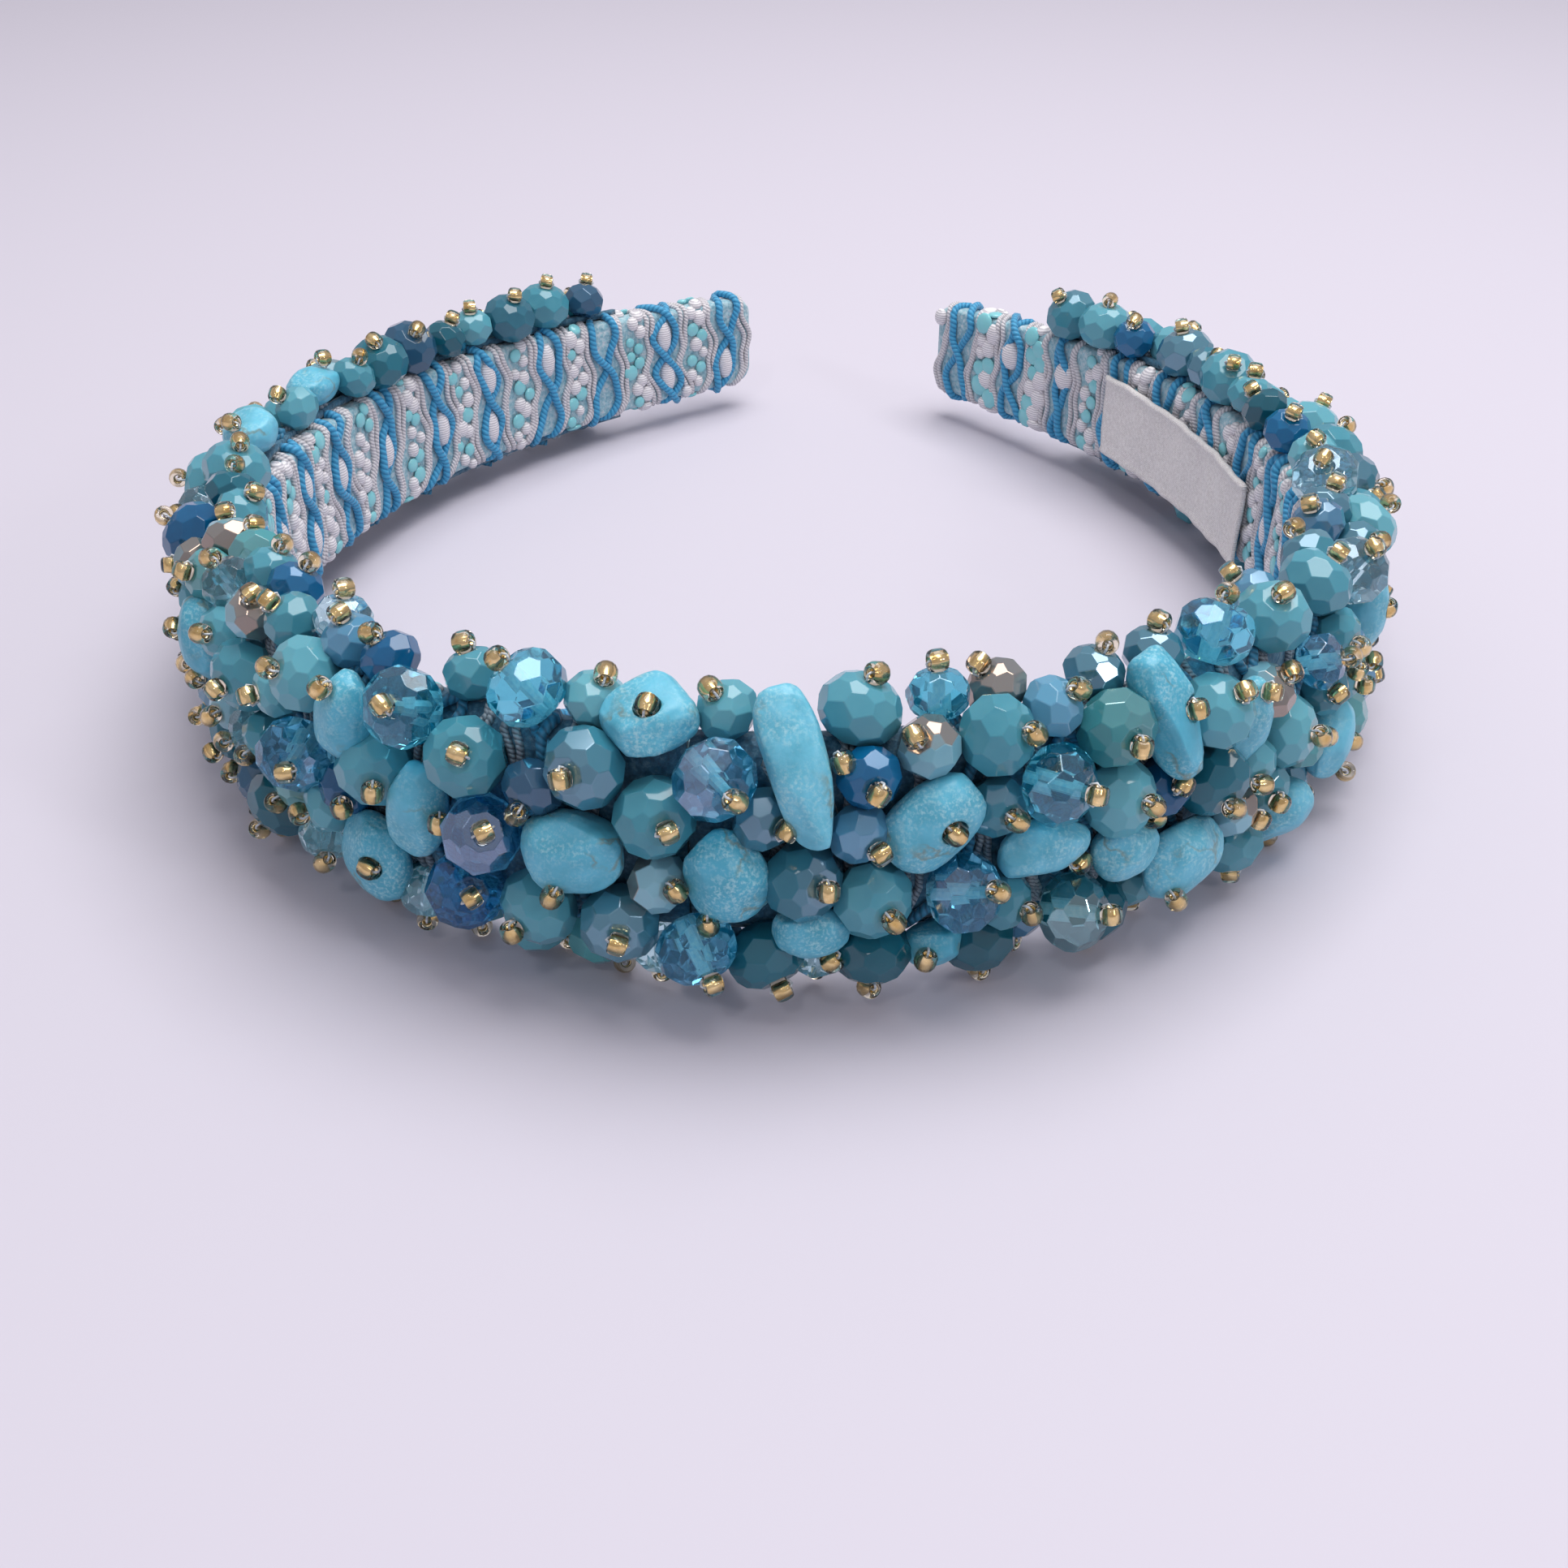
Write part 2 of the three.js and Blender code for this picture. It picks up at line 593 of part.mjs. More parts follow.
function pushApart(loose, fixed) {
  const pushes = loose.map((bead) => {
    const push = { along: 0, across: 0 };
    for (const other of [...fixed, ...loose]) {
      if (other === bead) {
        continue;
      }
      const { alongStep, acrossStep, distance } = apart(bead, other);
      const overlap = footprint(bead) + footprint(other) + PUSH_GAP - distance;
      if (overlap > 0) {
        const share = (other.index === undefined ? 0.9 : 0.5) * (overlap / Math.max(distance, 0.1));
        push.along -= alongStep * share;
        push.across -= acrossStep * share;
      }
    }
    return push;
  });
  loose.forEach((bead, at) => {
    bead.along += Math.max(-1, Math.min(1, pushes[at].along));
    bead.across += Math.max(-1, Math.min(1, pushes[at].across));
    bead.across = Math.min(halfGirth(bead.along) * 1.04, bead.across);
    bead.across = Math.max(-lowerReach(bead.along), bead.across);
    bead.along = Math.max(-ROW_REACH, Math.min(ROW_REACH, bead.along));
  });
}

// Assembly

const headband = new THREE.Group();
headband.rotation.set(-LEAN, SIDE_LEAN, 0);

function addMesh(name, geometry, finish) {
  const mesh = new THREE.Mesh(geometry, new THREE.MeshStandardMaterial(FINISHES[finish]));
  mesh.name = name;
  headband.add(mesh);
  return mesh;
}

function twoDigits(number) {
  return String(number).padStart(2, "0");
}

addMesh("band", bandGeometry(), "braid");

// Label: a flat strip of cloth that follows the inner face
function labelGeometry() {
  return sweep(stations(LABEL.from, LABEL.to).map((along) => {
    const share = (along - LABEL.from) / (LABEL.to - LABEL.from);
    const middle = LABEL.startZ + (LABEL.endZ - LABEL.startZ) * share;
    return placeRing(along, [
      [-FIT_GAP, middle - LABEL.halfWidth],
      [-FIT_GAP, middle + LABEL.halfWidth],
      [-FIT_GAP - LABEL.thick, middle + LABEL.halfWidth],
      [-FIT_GAP - LABEL.thick, middle - LABEL.halfWidth],
    ]);
  }));
}

addMesh("label", labelGeometry(), "label");

// Space that the main stones need, with a gap all round
const mainStones = [];

NUGGETS.forEach((nugget, at) => {
  const mesh = addMesh(`nugget_${twoDigits(at + 1)}`, plain(nuggetGeometry(nugget)), "nugget");
  const matrix = nuggetMatrix(nugget);
  mesh.applyMatrix4(matrix);
  mainStones.push(nuggetGeometry(nugget, FIT_GAP).applyMatrix4(matrix));
});

CRYSTALS.forEach((crystal, at) => {
  const mesh = addMesh(`crystal_${twoDigits(at + 1)}`, plain(beadGeometry(crystal.size)), crystal.finish);
  const matrix = beadMatrix(crystal, crystalLevel(crystal));
  mesh.applyMatrix4(matrix);
  mainStones.push(beadGeometry(crystal.size, FIT_GAP).applyMatrix4(matrix));
});

// Bead fields: the cloth with its large beads fused on. The small beads are finer trim.
function fieldSolid(from, to, beads) {
  let solid = clothSolid(from, to);
  for (const bead of beads) {
    solid = solid.add(toSolid(stitchedBeadGeometry(bead.size).applyMatrix4(beadMatrix(bead, BEAD_LEVEL))));
  }
  return solid;
}

function keepOutSolid(geometries) {
  return geometries.map((geometry) => toSolid(geometry)).reduce((whole, next) => whole.add(next));
}

const fieldBeads = [...CHARTED_BEADS, ...fillingBeads()].filter((bead) => bead.size === "large");
const leftBeads = fieldBeads.filter((bead) => bead.along < 0);
const rightBeads = fieldBeads.filter((bead) => bead.along >= 0);

// Beads near the seam between the fields, which the other field leaves free
function seamKeepOut(beads) {
  const near = beads.filter((bead) => Math.abs(bead.along) < 3 * BEAD_SIZES.large.radius);
  return keepOutSolid(near.map((bead) => (
    stitchedBeadGeometry(bead.size, FIT_GAP).applyMatrix4(beadMatrix(bead, BEAD_LEVEL))
  )));
}

const keepOut = keepOutSolid(mainStones).add(insideSolid());
const leftField = fieldSolid(-CLOTH_REACH, -FIT_GAP / 2, leftBeads)
  .subtract(keepOut)
  .subtract(seamKeepOut(rightBeads));
const rightField = fieldSolid(FIT_GAP / 2, CLOTH_REACH, rightBeads)
  .subtract(keepOut)
  .subtract(seamKeepOut(leftBeads));

addMesh("bead_field_left", toGeometry(largestPiece(leftField)), "field");
addMesh("bead_field_right", toGeometry(largestPiece(rightField)), "field");

// The lowest stone touches the ground, and the hoop's middle is over the origin
const bounds = new THREE.Box3().setFromObject(headband, true);
headband.position.set(
  -(bounds.min.x + bounds.max.x) / 2,
  -(bounds.min.y + bounds.max.y) / 2,
  -bounds.min.z,
);

export default headband;
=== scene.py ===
import math

import bmesh
import bpy
import numpy as np
from mathutils import Matrix, Vector, noise


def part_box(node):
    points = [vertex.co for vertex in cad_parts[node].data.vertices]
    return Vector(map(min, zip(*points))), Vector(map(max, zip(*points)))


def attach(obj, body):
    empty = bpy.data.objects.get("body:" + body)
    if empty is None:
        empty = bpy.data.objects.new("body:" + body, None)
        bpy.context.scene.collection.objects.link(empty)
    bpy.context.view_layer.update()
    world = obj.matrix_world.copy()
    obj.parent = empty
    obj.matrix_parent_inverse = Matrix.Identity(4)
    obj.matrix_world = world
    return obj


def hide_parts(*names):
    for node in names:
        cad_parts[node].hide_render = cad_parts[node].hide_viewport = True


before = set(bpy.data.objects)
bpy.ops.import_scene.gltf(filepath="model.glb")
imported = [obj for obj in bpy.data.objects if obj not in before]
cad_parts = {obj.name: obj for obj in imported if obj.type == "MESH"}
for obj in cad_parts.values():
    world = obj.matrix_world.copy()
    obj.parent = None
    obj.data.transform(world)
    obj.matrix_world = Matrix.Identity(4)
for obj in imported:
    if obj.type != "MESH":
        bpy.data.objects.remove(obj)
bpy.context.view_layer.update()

# Jeweled headband: the finish of every stone, bead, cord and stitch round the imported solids.
# Lengths are in millimetres in the hoop's own frame, and PLACE brings them to the row frame.

# Hoop and band
HALF_LENGTH = 200
TURN_FIRST = 3.23
TURN_THIRD = -0.523
TURN_FIFTH = -0.246
CROWN_Y = -60
LEAN = math.radians(2.45)  # the tapering hoop settles this far towards its ends
SIDE_LEAN = math.radians(-0.47)  # and this far about +Y, onto its left crown
BAND_THICK = 3.6
BAND_HALF_CROWN = 9.6
BAND_HALF_END = 7.0
BAND_CORNER = BAND_THICK / 2
OUTER_CORNER = 0.45  # corners of the bare band, as shares of its thickness
INNER_CORNER = 0.25
STATION_PITCH = 7.8
TIP_ROUND = 1.6

# Cloth, beads and their seats
FIT_GAP = 0.3
CLOTH_THICK = 1.0
CLOTH_REACH = 175
CLOTH_STEPS = 5
BEAD_SIZES = {"large": (3.85, 3.0), "small": (2.9, 2.3)}
STITCH_SINK = 0.4
SEAT = FIT_GAP + CLOTH_THICK
BEAD_LEVEL = SEAT + BEAD_SIZES["large"][1] - STITCH_SINK
SMALL_LEVEL = SEAT + BEAD_SIZES["small"][1]
TABLE_SHARE = 0.5
GIRDLE_SHARE = 0.3
FLOOR_GAP = 0.02  # beads stay this far above the surface that the hoop lies on

# Cut beads. Their facets touch an ellipsoid a little taller than the bead.
BEAD_SIDES = {"large": 8, "small": 7}
BEAD_SWELL = 1.16
FACET_ROWS = [(0, 0), (34, 0.5), (-34, 0.5), (61, 0), (-61, 0)]  # latitude in degrees, turn in sides
FACET_DEPTH = 0.975
SOFT_EDGE = 0.06
BEAD_BORE = 0.62
HOLE_LIP = 0.05

# Rows of filling beads
ROW_SHARES = [-1, -0.6, -0.2, 0.2, 0.6, 1]
ROW_PITCH = 6.8
ROW_REACH = 172
LARGE_SHARE = 0.44
PUSH_ROUNDS = 40
PUSH_GAP = 0.1
LOOSE_SHARE = 0.5  # of each overlap, what a bead gives way to a loose one
FIXED_SHARE = 0.9  # and to a charted stone
UPPER_SPILL = 1.04
TAKEN_SHARE = 0.78
GAP_STEP = 1.2  # bare places are looked for this far apart
GAP_SHARE = 0.72  # and filled where a small bead of this share of its size fits

# First numbers of the draws for each kind of stone
GAP_INDEX = 2000
CRYSTAL_INDEX = 500
NUGGET_INDEX = 700

# How far beads go round the lower edge: along, and mm past the flat of the outer face
LOWER_EDGE = [(-80, 1.5), (-45, 9), (80, 9), (100, 5), (148, 5), (156, 1.5)]
EDGE_SPARE = 4.5

# Seed beads and thread
SEED_RADIUS = 1.15
SEED_HALF = 0.9
SEED_BORE = 0.5
SEED_STEPS = 8
SEED_SIDES = 14
SEED_SEAT = SEED_RADIUS * 0.8
SEED_LIFT = SEED_RADIUS * 0.82
LINING_HALF = SEED_HALF * 0.94
LINING_OUTER = 0.57
LINING_INNER = 0.44
SETTLE_ROUNDS = 30
SETTLE_STEP = 0.12
SEED_CLEAR = 0.1
THREAD_RADIUS = 0.13
THREAD_SIDES = 5
THREAD_LOW = -SEED_RADIUS - 0.3
HALF_LOOP = [(0.05, THREAD_LOW), (0.45, THREAD_LOW + 0.35), (0.9, -0.75), (1.12, -0.2), (0.85, 0.05)]
THREAD_LOOP = HALF_LOOP + [(0, 0.02)] + [(-x, z) for x, z in HALF_LOOP[::-1]]

# Holes, worn faces and lumps of the tumbled stones
STONE_BORE = 0.00135  # in metres
BORE_SIDES = 20
SEED_IN_HOLE = 1.0  # how deep a seed bead sits in a hole that shows
SEED_ON_FACE = 0.1
WORN_FACES = 5
WORN_DEPTH = 0.7
LUMPS = [(0.05, 1.7), (0.016, 5)]  # share of the stone's size, and waves across it

# Braid that wraps the band
TIP_REACH = 3.2  # the band's outline is rounded this near its ends
TIP_PLACES = (0.05, 0.25, 0.6, 1.1, 1.7, 2.4, 3.2)  # and has a ring this far from them
WRAP_CORNER = 1.25
BRAID_PITCH = 11.4
BRAID_COUNT = int(2 * HALF_LENGTH / BRAID_PITCH)
CHAIN_WIDTH = 1.9
CHAIN_WAVE = 8.4
CORD_SIDES = 7
FIELD_CORD_SIDES = 5
BLUE_RADIUS = 0.6
GREY_RADIUS = 0.42
GREY_SHIFTS = (-3.6, -2.8, 2.8, 3.6)
OVAL = (1.4, 2.8, 1.1)
BUMP_PITCH = 1.3
BUMP_SHIFT = 0.75
SEQUIN_SHARE = 0.4
END_CLEAR = 0.6
BOLD_FROM = 160  # the braid is coarser towards the right end
BOLD_OVAL = (2.0, 2.4, 1.3)
BOLD_BUMPS = 1.35

# Label
LABEL_FROM = 121
LABEL_TO = 160
LABEL_HALF_WIDTH = 6.0
LABEL_START_Z = -3.0
LABEL_END_Z = 0.0
LABEL_THICK = 0.5
LABEL_LIFT = 1.45
SELVAGE = 0.9
SELVAGE_RISE = 0.25

# Glass, and the painted glow that stands in for the light a clear stone gathers from all round it
GLASS_IOR = 1.54
PAINTED_GLOW = 0.045

# Camera, fitted to the photo
CAMERA_FROM = Vector((26.5, -203.8, 93.89))
CAMERA_AT = Vector((2.13, -8.75, -27.48))
CAMERA_LENS = 41.0

# Lights: place, width in metres, power in watts and colour
LIGHTS = {
    "key": ((0.1, 0.12, 0.7), 0.55, 4.9, (1, 0.99, 0.98)),
    "front": ((-0.1, -0.5, 0.6), 0.05, 0.3, (1, 1, 1)),
    "side": ((0.5, -0.3, 0.35), 0.08, 0.4, (1, 1, 1)),
}
SKY_COLOURS = [(0.0, "#E4E0EA"), (0.3, "#DCD8E4"), (0.75, "#F6F4FA")]
SKY_STRENGTH = 0.6
FLOOR_COLOUR = "#C9C4D0"


def table(columns, rows):
    return [dict(zip(columns, row)) for row in rows]


# Tumbled stones. along, across: place on the band. turn: degrees from upright to the long axis.
# square: roundness power. taper: positive narrows the top. seed_along, seed_across: the seed
# bead from the stone's middle. drilled: 1 where the hole shows.
NUGGET_COLUMNS = [
    "along", "across", "long", "wide", "thick", "turn", "square", "taper",
    "seed_along", "seed_across", "drilled",
]
NUGGETS = table(NUGGET_COLUMNS, [
    [-3.1, 14.3, 8.1, 7.9, 5.4, 45, 3.4, 0, 0.2, -0.6, 1],
    [9.6, 10.2, 15.5, 5.8, 5.2, -16, 3.0, -0.15, 3.4, 0.4, 0],
    [-9.4, 0, 9.9, 8.2, 6.0, 82, 2.8, 0.1, -1.1, -3.2, 0],
    [3.6, -1, 9.8, 8.0, 6.0, -18, 2.3, 0.3, -1.5, -4.2, 0],
    [10.7, -7.8, 7.4, 5.6, 4.6, 95, 2.3, 0.1, 1.7, -2.8, 0],
    [20.8, 3.8, 11.0, 7.8, 5.6, 45, 2.4, 0.1, 1.3, 0.3, 1],
    [31.2, -1.3, 9.6, 5.8, 4.8, 80, 2.4, 0.15, 3.4, -2.2, 0],
    [22, -12.8, 6.8, 6.2, 4.6, 170, 2.4, 0.45, -1.5, 2.8, 0],
    [43.2, 9.7, 13.4, 5.6, 5.4, -14, 3.6, 0, 1.4, 0.3, 1],
    [54.8, 4.7, 9.0, 5.6, 4.2, 4, 2.6, 0, 0, 3.6, 0],
    [75, -7.5, 9.5, 7.0, 5.6, 30, 2.3, 0.1, 0, -3.5, 0],
    [65, -11.5, 9.0, 8.2, 6.0, 0, 2.2, 0.35, 0.5, -4.0, 0],
    [47, -7.8, 10.4, 8.2, 5.6, 76, 2.2, 0.45, -3.0, -2.6, 0],
    [39.8, -4.3, 7.4, 5.8, 5.0, 80, 2.4, 0.1, 2.4, 2.6, 0],
    [-32.2, 8.2, 9.6, 6.4, 5.6, 8, 2.4, 0, 0, 3.6, 0],
    [-25, 0.1, 11.0, 6.4, 5.0, 13, 2.4, 0, 3.2, 0.2, 0],
    [-31, -7.9, 10.2, 8.8, 4.8, 0, 2.2, 0, 1.2, 0.2, 1],
    [-62, 4, 9.5, 7.8, 6.0, -20, 2.3, 0, -3.2, 0, 0],
    [86, 3, 11.0, 6.0, 5.6, 0, 2.4, 0, 0.4, 0.5, 1],
    [-98, 14.2, 8.6, 7.0, 5.6, 60, 2.3, 0, 3.2, 0, 0],
    [-116, 14, 9.0, 6.4, 5.2, 80, 2.4, 0.1, -2.6, 1.2, 0],
    [-80, -3, 9.0, 7.0, 5.4, 25, 2.4, 0.1, 0.5, -0.5, 1],
    [104, -6, 9.6, 6.6, 5.2, -30, 2.3, 0.2, 1.6, -3.0, 0],
    [128, 2, 10.4, 6.4, 5.2, 70, 2.6, 0, -0.6, 0.3, 1],
    [-134, -1, 9.8, 6.8, 5.4, -50, 2.4, 0.2, 2.6, -2.2, 0],
    [151, 3, 9.0, 7.0, 5.4, 15, 2.3, 0.1, -0.5, 3.2, 0],
    [-156, -5, 8.8, 6.6, 5.2, 85, 2.5, 0, 0.3, 0.4, 1],
])

# Cut stones. toward: degrees from upright to the way that the hole leans. lean: degrees between
# the hole and straight out.
BEAD_COLUMNS = ["finish", "size", "along", "across", "toward", "lean"]
CRYSTALS = table(BEAD_COLUMNS, [
    ["aqua", "large", -14.5, 15, 278, 42],
    ["violet", "large", 2.9, 9.3, 115, 38],
    ["violet", "large", 1.0, -9.2, 127, 38],
    ["aqua", "small", 22.7, 17.2, 0, 8],
    ["aqua", "large", 31.5, 6.2, 85, 34],
    ["violet", "large", 23.6, -4.1, 57, 45],
    ["crystal_green", "large", 34.4, -9.2, 55, 46],
    ["aqua", "large", 52, 14.8, 50, 32],
    ["violet", "small", 67.2, 6, 40, 25],
    ["clear", "small", -40, 17.6, 0, 0],
    ["aqua", "large", -25.4, 10.9, 95, 10],
    ["crystal_azure", "large", -17.6, 0.2, 40, 50],
    ["violet", "large", -39.8, 0.8, 85, 42],
])
CHARTED_BEADS = table(BEAD_COLUMNS, [
    ["turquoise", "small", -8.7, 16.5, 90, 22],
    ["turquoise", "small", 3.3, 16.6, 235, 30],
    ["turquoise", "large", 15.2, 16, 70, 24],
    ["lustre", "large", -8.2, 9, 270, 13],
    ["dusk", "small", -13, 5.8, 200, 30],
    ["azure", "small", 15.4, 8.9, 150, 12],
    ["turquoise", "large", -2.3, 4.5, 72, 32],
    ["lustre", "small", 6.7, 4.7, 85, 43],
    ["lustre", "large", 10, -2, 70, 37],
    ["bronze", "small", -2.3, -3, 72, 46],
    ["sky", "small", 14.7, 2.9, 115, 33],
    ["turquoise", "large", 16, -4.5, 100, 20],
    ["turquoise", "large", -13.3, -7.7, 230, 26],
    ["lustre", "large", -5.8, -8.1, 60, 15],
    ["deep", "large", 6.8, -12.3, 90, 25],
    ["deep", "large", 16.2, -12, 190, 30],
    ["clear", "small", 11.5, -14.5, 180, 40],
    ["clear", "small", -3, -14, 180, 30],
    ["bronze", "small", 28.8, 18, 265, 35],
    ["bronze", "small", 20.6, 11.4, 293, 39],
    ["turquoise", "large", 26.6, 11.6, 108, 40],
    ["sky", "small", 32.5, 13.4, 90, 32],
    ["lustre", "small", 38.5, 16.5, 95, 20],
    ["green", "large", 37.8, 9.8, 180, 22],
    ["lustre", "small", 26.6, 4.1, 80, 13],
    ["turquoise", "large", 38.6, 2, 65, 22],
    ["lustre", "small", 27.9, -7, 98, 34],
    ["deep", "large", 26.5, -13.5, 170, 25],
    ["deep", "large", 38.5, -13.5, 180, 30],
    ["lustre", "small", 46, 16.8, 90, 10],
    ["turquoise", "large", 49.5, 7.8, 15, 50],
    ["turquoise", "large", 61.3, 13.7, 300, 18],
    ["sky", "small", 64, 18, 330, 30],
    ["turquoise", "large", 71.5, 13.5, 80, 24],
    ["bronze", "small", 57.6, 6.7, 22, 55],
    ["turquoise", "large", 61.9, 0.1, 55, 12],
    ["deep", "large", 50.2, -0.4, 200, 25],
    ["turquoise", "large", 56.5, -12, 180, 30],
    ["bronze", "small", 54.5, -6, 120, 40],
    ["azure", "small", 43.8, 1.2, 0, 30],
    ["sky", "small", -36, 15.5, 270, 10],
    ["azure", "small", -30.4, 15.3, 260, 24],
    ["turquoise", "small", -21.5, 17, 275, 20],
    ["turquoise", "large", -19.2, 7.7, 30, 42],
    ["turquoise", "large", -29.6, 3.0, 100, 40],
    ["crystal_azure", "large", -20.7, -8, 60, 50],
    ["clear", "small", -26.5, -12, 180, 35],
    ["turquoise", "small", -44.5, 14.2, 235, 20],
    ["bronze", "small", -50, 12.3, 40, 40],
    ["turquoise", "large", -50, 5, 100, 14],
    ["turquoise", "large", -38.6, 10, 285, 14],
    ["turquoise", "small", -47.6, -1.5, 200, 30],
    ["deep", "large", -46.5, -9, 200, 30],
    ["clear", "small", -39, -9.5, 120, 40],
    ["turquoise", "small", -55.5, 17.3, 0, 20],
    ["azure", "small", -50.5, 18, 30, 20],
    ["clear", "small", -58, 12.5, 320, 20],
    ["bronze", "small", -66, 15, 300, 30],
    ["azure", "large", -75, 10, 300, 20],
    ["turquoise", "small", -73, 17, 20, 30],
    ["turquoise", "large", -86, 15.5, 20, 25],
    ["turquoise", "large", 93, 10, 40, 25],
    ["sky", "small", 86, 16.5, 310, 30],
    ["clear", "large", 100, 15.5, 300, 40],
    ["turquoise", "large", 113, 11, 60, 30],
    ["lustre", "large", 148.5, 14.5, 30, 20],
    ["turquoise", "large", -162.5, 14, 340, 20],
    ["turquoise", "small", 146, -11.3, 180, 25],
    ["deep", "small", 138, -11.5, 200, 30],
    ["turquoise", "large", 130, -11.5, 160, 30],
    ["azure", "small", 122.5, -11.9, 180, 30],
    ["turquoise", "large", 115, -11.9, 190, 25],
    ["lustre", "small", 107.5, -12.2, 170, 30],
])

# How often each finish comes among the filling beads
FILL_FINISHES = [
    ("turquoise", 0.34), ("deep", 0.12), ("lustre", 0.14), ("dusk", 0.06), ("sky", 0.08),
    ("azure", 0.07), ("bronze", 0.07), ("clear", 0.06), ("green", 0.06),
]


# Hoop curve

def heading(along):
    share = along / HALF_LENGTH
    return TURN_FIRST * share + TURN_THIRD * share**3 + TURN_FIFTH * share**5


def hoop_point(along):
    """Point on the inner face at mid height, found by summing short steps from the crown."""
    steps = max(1, math.ceil(abs(along) / 2))
    step = along / steps
    angles = heading((np.arange(steps) + 0.5) * step)
    return Vector((float(np.cos(angles).sum() * step), CROWN_Y + float(np.sin(angles).sum() * step), 0))


def hoop_frame(along):
    angle = heading(along)
    forward = Vector((math.cos(angle), math.sin(angle), 0))
    outward = Vector((math.sin(angle), -math.cos(angle), 0))
    return hoop_point(along), forward, outward


def band_half(along):
    share = min(1, abs(along) / HALF_LENGTH)
    return BAND_HALF_END + (BAND_HALF_CROWN - BAND_HALF_END) * (1 - share * share)


def half_girth(along):
    return band_half(along) - BAND_CORNER + (BAND_CORNER + BEAD_LEVEL) * (math.pi / 2)


def lower_reach(along):
    """Lowest place round the section that a bead's centre may take, below the middle."""
    places, limits = zip(*LOWER_EDGE)
    return band_half(along) - BAND_CORNER + float(np.interp(along, places, limits))


def seat_frame(along, across, level):
    """Place and directions on the band's outside, `level` above its surface, `across` round it."""
    flat = band_half(along) - BAND_CORNER
    side = math.copysign(1, across)
    past = max(0, abs(across) - flat) / (BAND_CORNER + BEAD_LEVEL)
    reach = BAND_CORNER + level
    point, forward, outward = hoop_frame(along)
    normal = outward * math.cos(past)
    normal.z = side * math.sin(past)
    position = point + outward * (BAND_CORNER + reach * math.cos(past))
    position.z = side * (flat + reach * math.sin(past)) if past > 0 else across
    return position, forward, normal.cross(forward), normal


def corner_points(depth, height, radius, start, steps):
    """Corner of a section as points, from `start` to `start + 90` degrees."""
    angles = [math.radians(start + 90 * step / steps) for step in range(steps + 1)]
    return [(depth + radius * math.cos(a), height + radius * math.sin(a)) for a in angles]


def band_section(along, inset, steps=2):
    half = band_half(along) - inset
    near = inset / 2
    far = BAND_THICK - inset / 2
    outer = (far - near) * OUTER_CORNER
    inner = (far - near) * INNER_CORNER
    return (
        corner_points(far - outer, -half + outer, outer, -90, steps)
        + corner_points(far - outer, half - outer, outer, 0, steps)
        + corner_points(near + inner, half - inner, inner, 90, steps)
        + corner_points(near + inner, -half + inner, inner, 180, steps)
    )


def place_ring(along, section):
    """A section given as (depth, height) pairs, placed at one station."""
    point, forward, outward = hoop_frame(along)
    return [point + outward * depth + Vector((0, 0, height)) for depth, height in section]


def band_place():
    """Matrix from the hoop's frame to the row frame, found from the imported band's box."""
    leaning = Matrix.Rotation(-LEAN, 4, "X") @ Matrix.Rotation(SIDE_LEAN, 4, "Y")
    reach = HALF_LENGTH - TIP_ROUND
    stations = [(at + 0.5) * STATION_PITCH for at in range(-30, 30)]
    places = [-reach, reach] + [place for place in stations if abs(place) < reach - 1]
    points = [leaning @ p for along in places for p in place_ring(along, band_section(along, 0))]
    for end in (-HALF_LENGTH, HALF_LENGTH):
        points += [leaning @ p for p in place_ring(end, band_section(end, TIP_ROUND))]
    low = Vector([min(p[axis] for p in points) for axis in range(3)])
    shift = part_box("band")[0] * 1000 - low
    return Matrix.Scale(0.001, 4) @ Matrix.Translation(shift) @ leaning


PLACE = band_place()


# Filling beads: staggered rows, pushed clear of the charted stones and of each other

def times(first, second):
    """Product of two whole numbers, kept to 32 bits."""
    return (first * second) & 0xFFFFFFFF


def chance(index, salt):
    """A number from 0 to 1 that looks random and is the same on every run."""
    mixed = (times(index + 1, 374761393) + times(salt + 1, 668265263)) & 0xFFFFFFFF
    mixed = times(mixed ^ (mixed >> 13), 1274126177)
    return ((mixed ^ (mixed >> 16)) & 0xFFFFFFFF) / 4294967296


def either_way(index, salt, width):
    """A drawn number within half a width of 0."""
    return width * (chance(index, salt) - 0.5)


def any_turn(index, salt):
    """An angle in radians, up to nearly a full turn."""
    return 6.28 * chance(index, salt)


def limited(value, low, high):
    return max(low, min(high, value))


def stretch(along):
    share = along / HALF_LENGTH
    bend = (TURN_FIRST + 3 * TURN_THIRD * share**2 + 5 * TURN_FIFTH * share**4) / HALF_LENGTH
    return 1 + bend * (BAND_THICK + BEAD_LEVEL)


def footprint(stone):
    return BEAD_SIZES[stone["size"]][0] if "size" in stone else (stone["long"] + stone["wide"]) / 4


def apart(first, second):
    along_step = (second["along"] - first["along"]) * stretch((first["along"] + second["along"]) / 2)
    across_step = second["across"] - first["across"]
    return along_step, across_step, math.hypot(along_step, across_step)


def filling_finish(index):
    level = chance(index, 5)
    for finish, share in FILL_FINISHES:
        level -= share
        if level < 0:
            return finish
    return FILL_FINISHES[0][0]


def rule_bead(index, size, along, across):
    """A bead that the photo hides, with its colour and lean drawn for it."""
    return {
        "index": index, "finish": filling_finish(index), "size": size,
        "along": along, "across": across,
        "toward": 360 * chance(index, 3), "lean": 10 + 35 * chance(index, 4),
    }


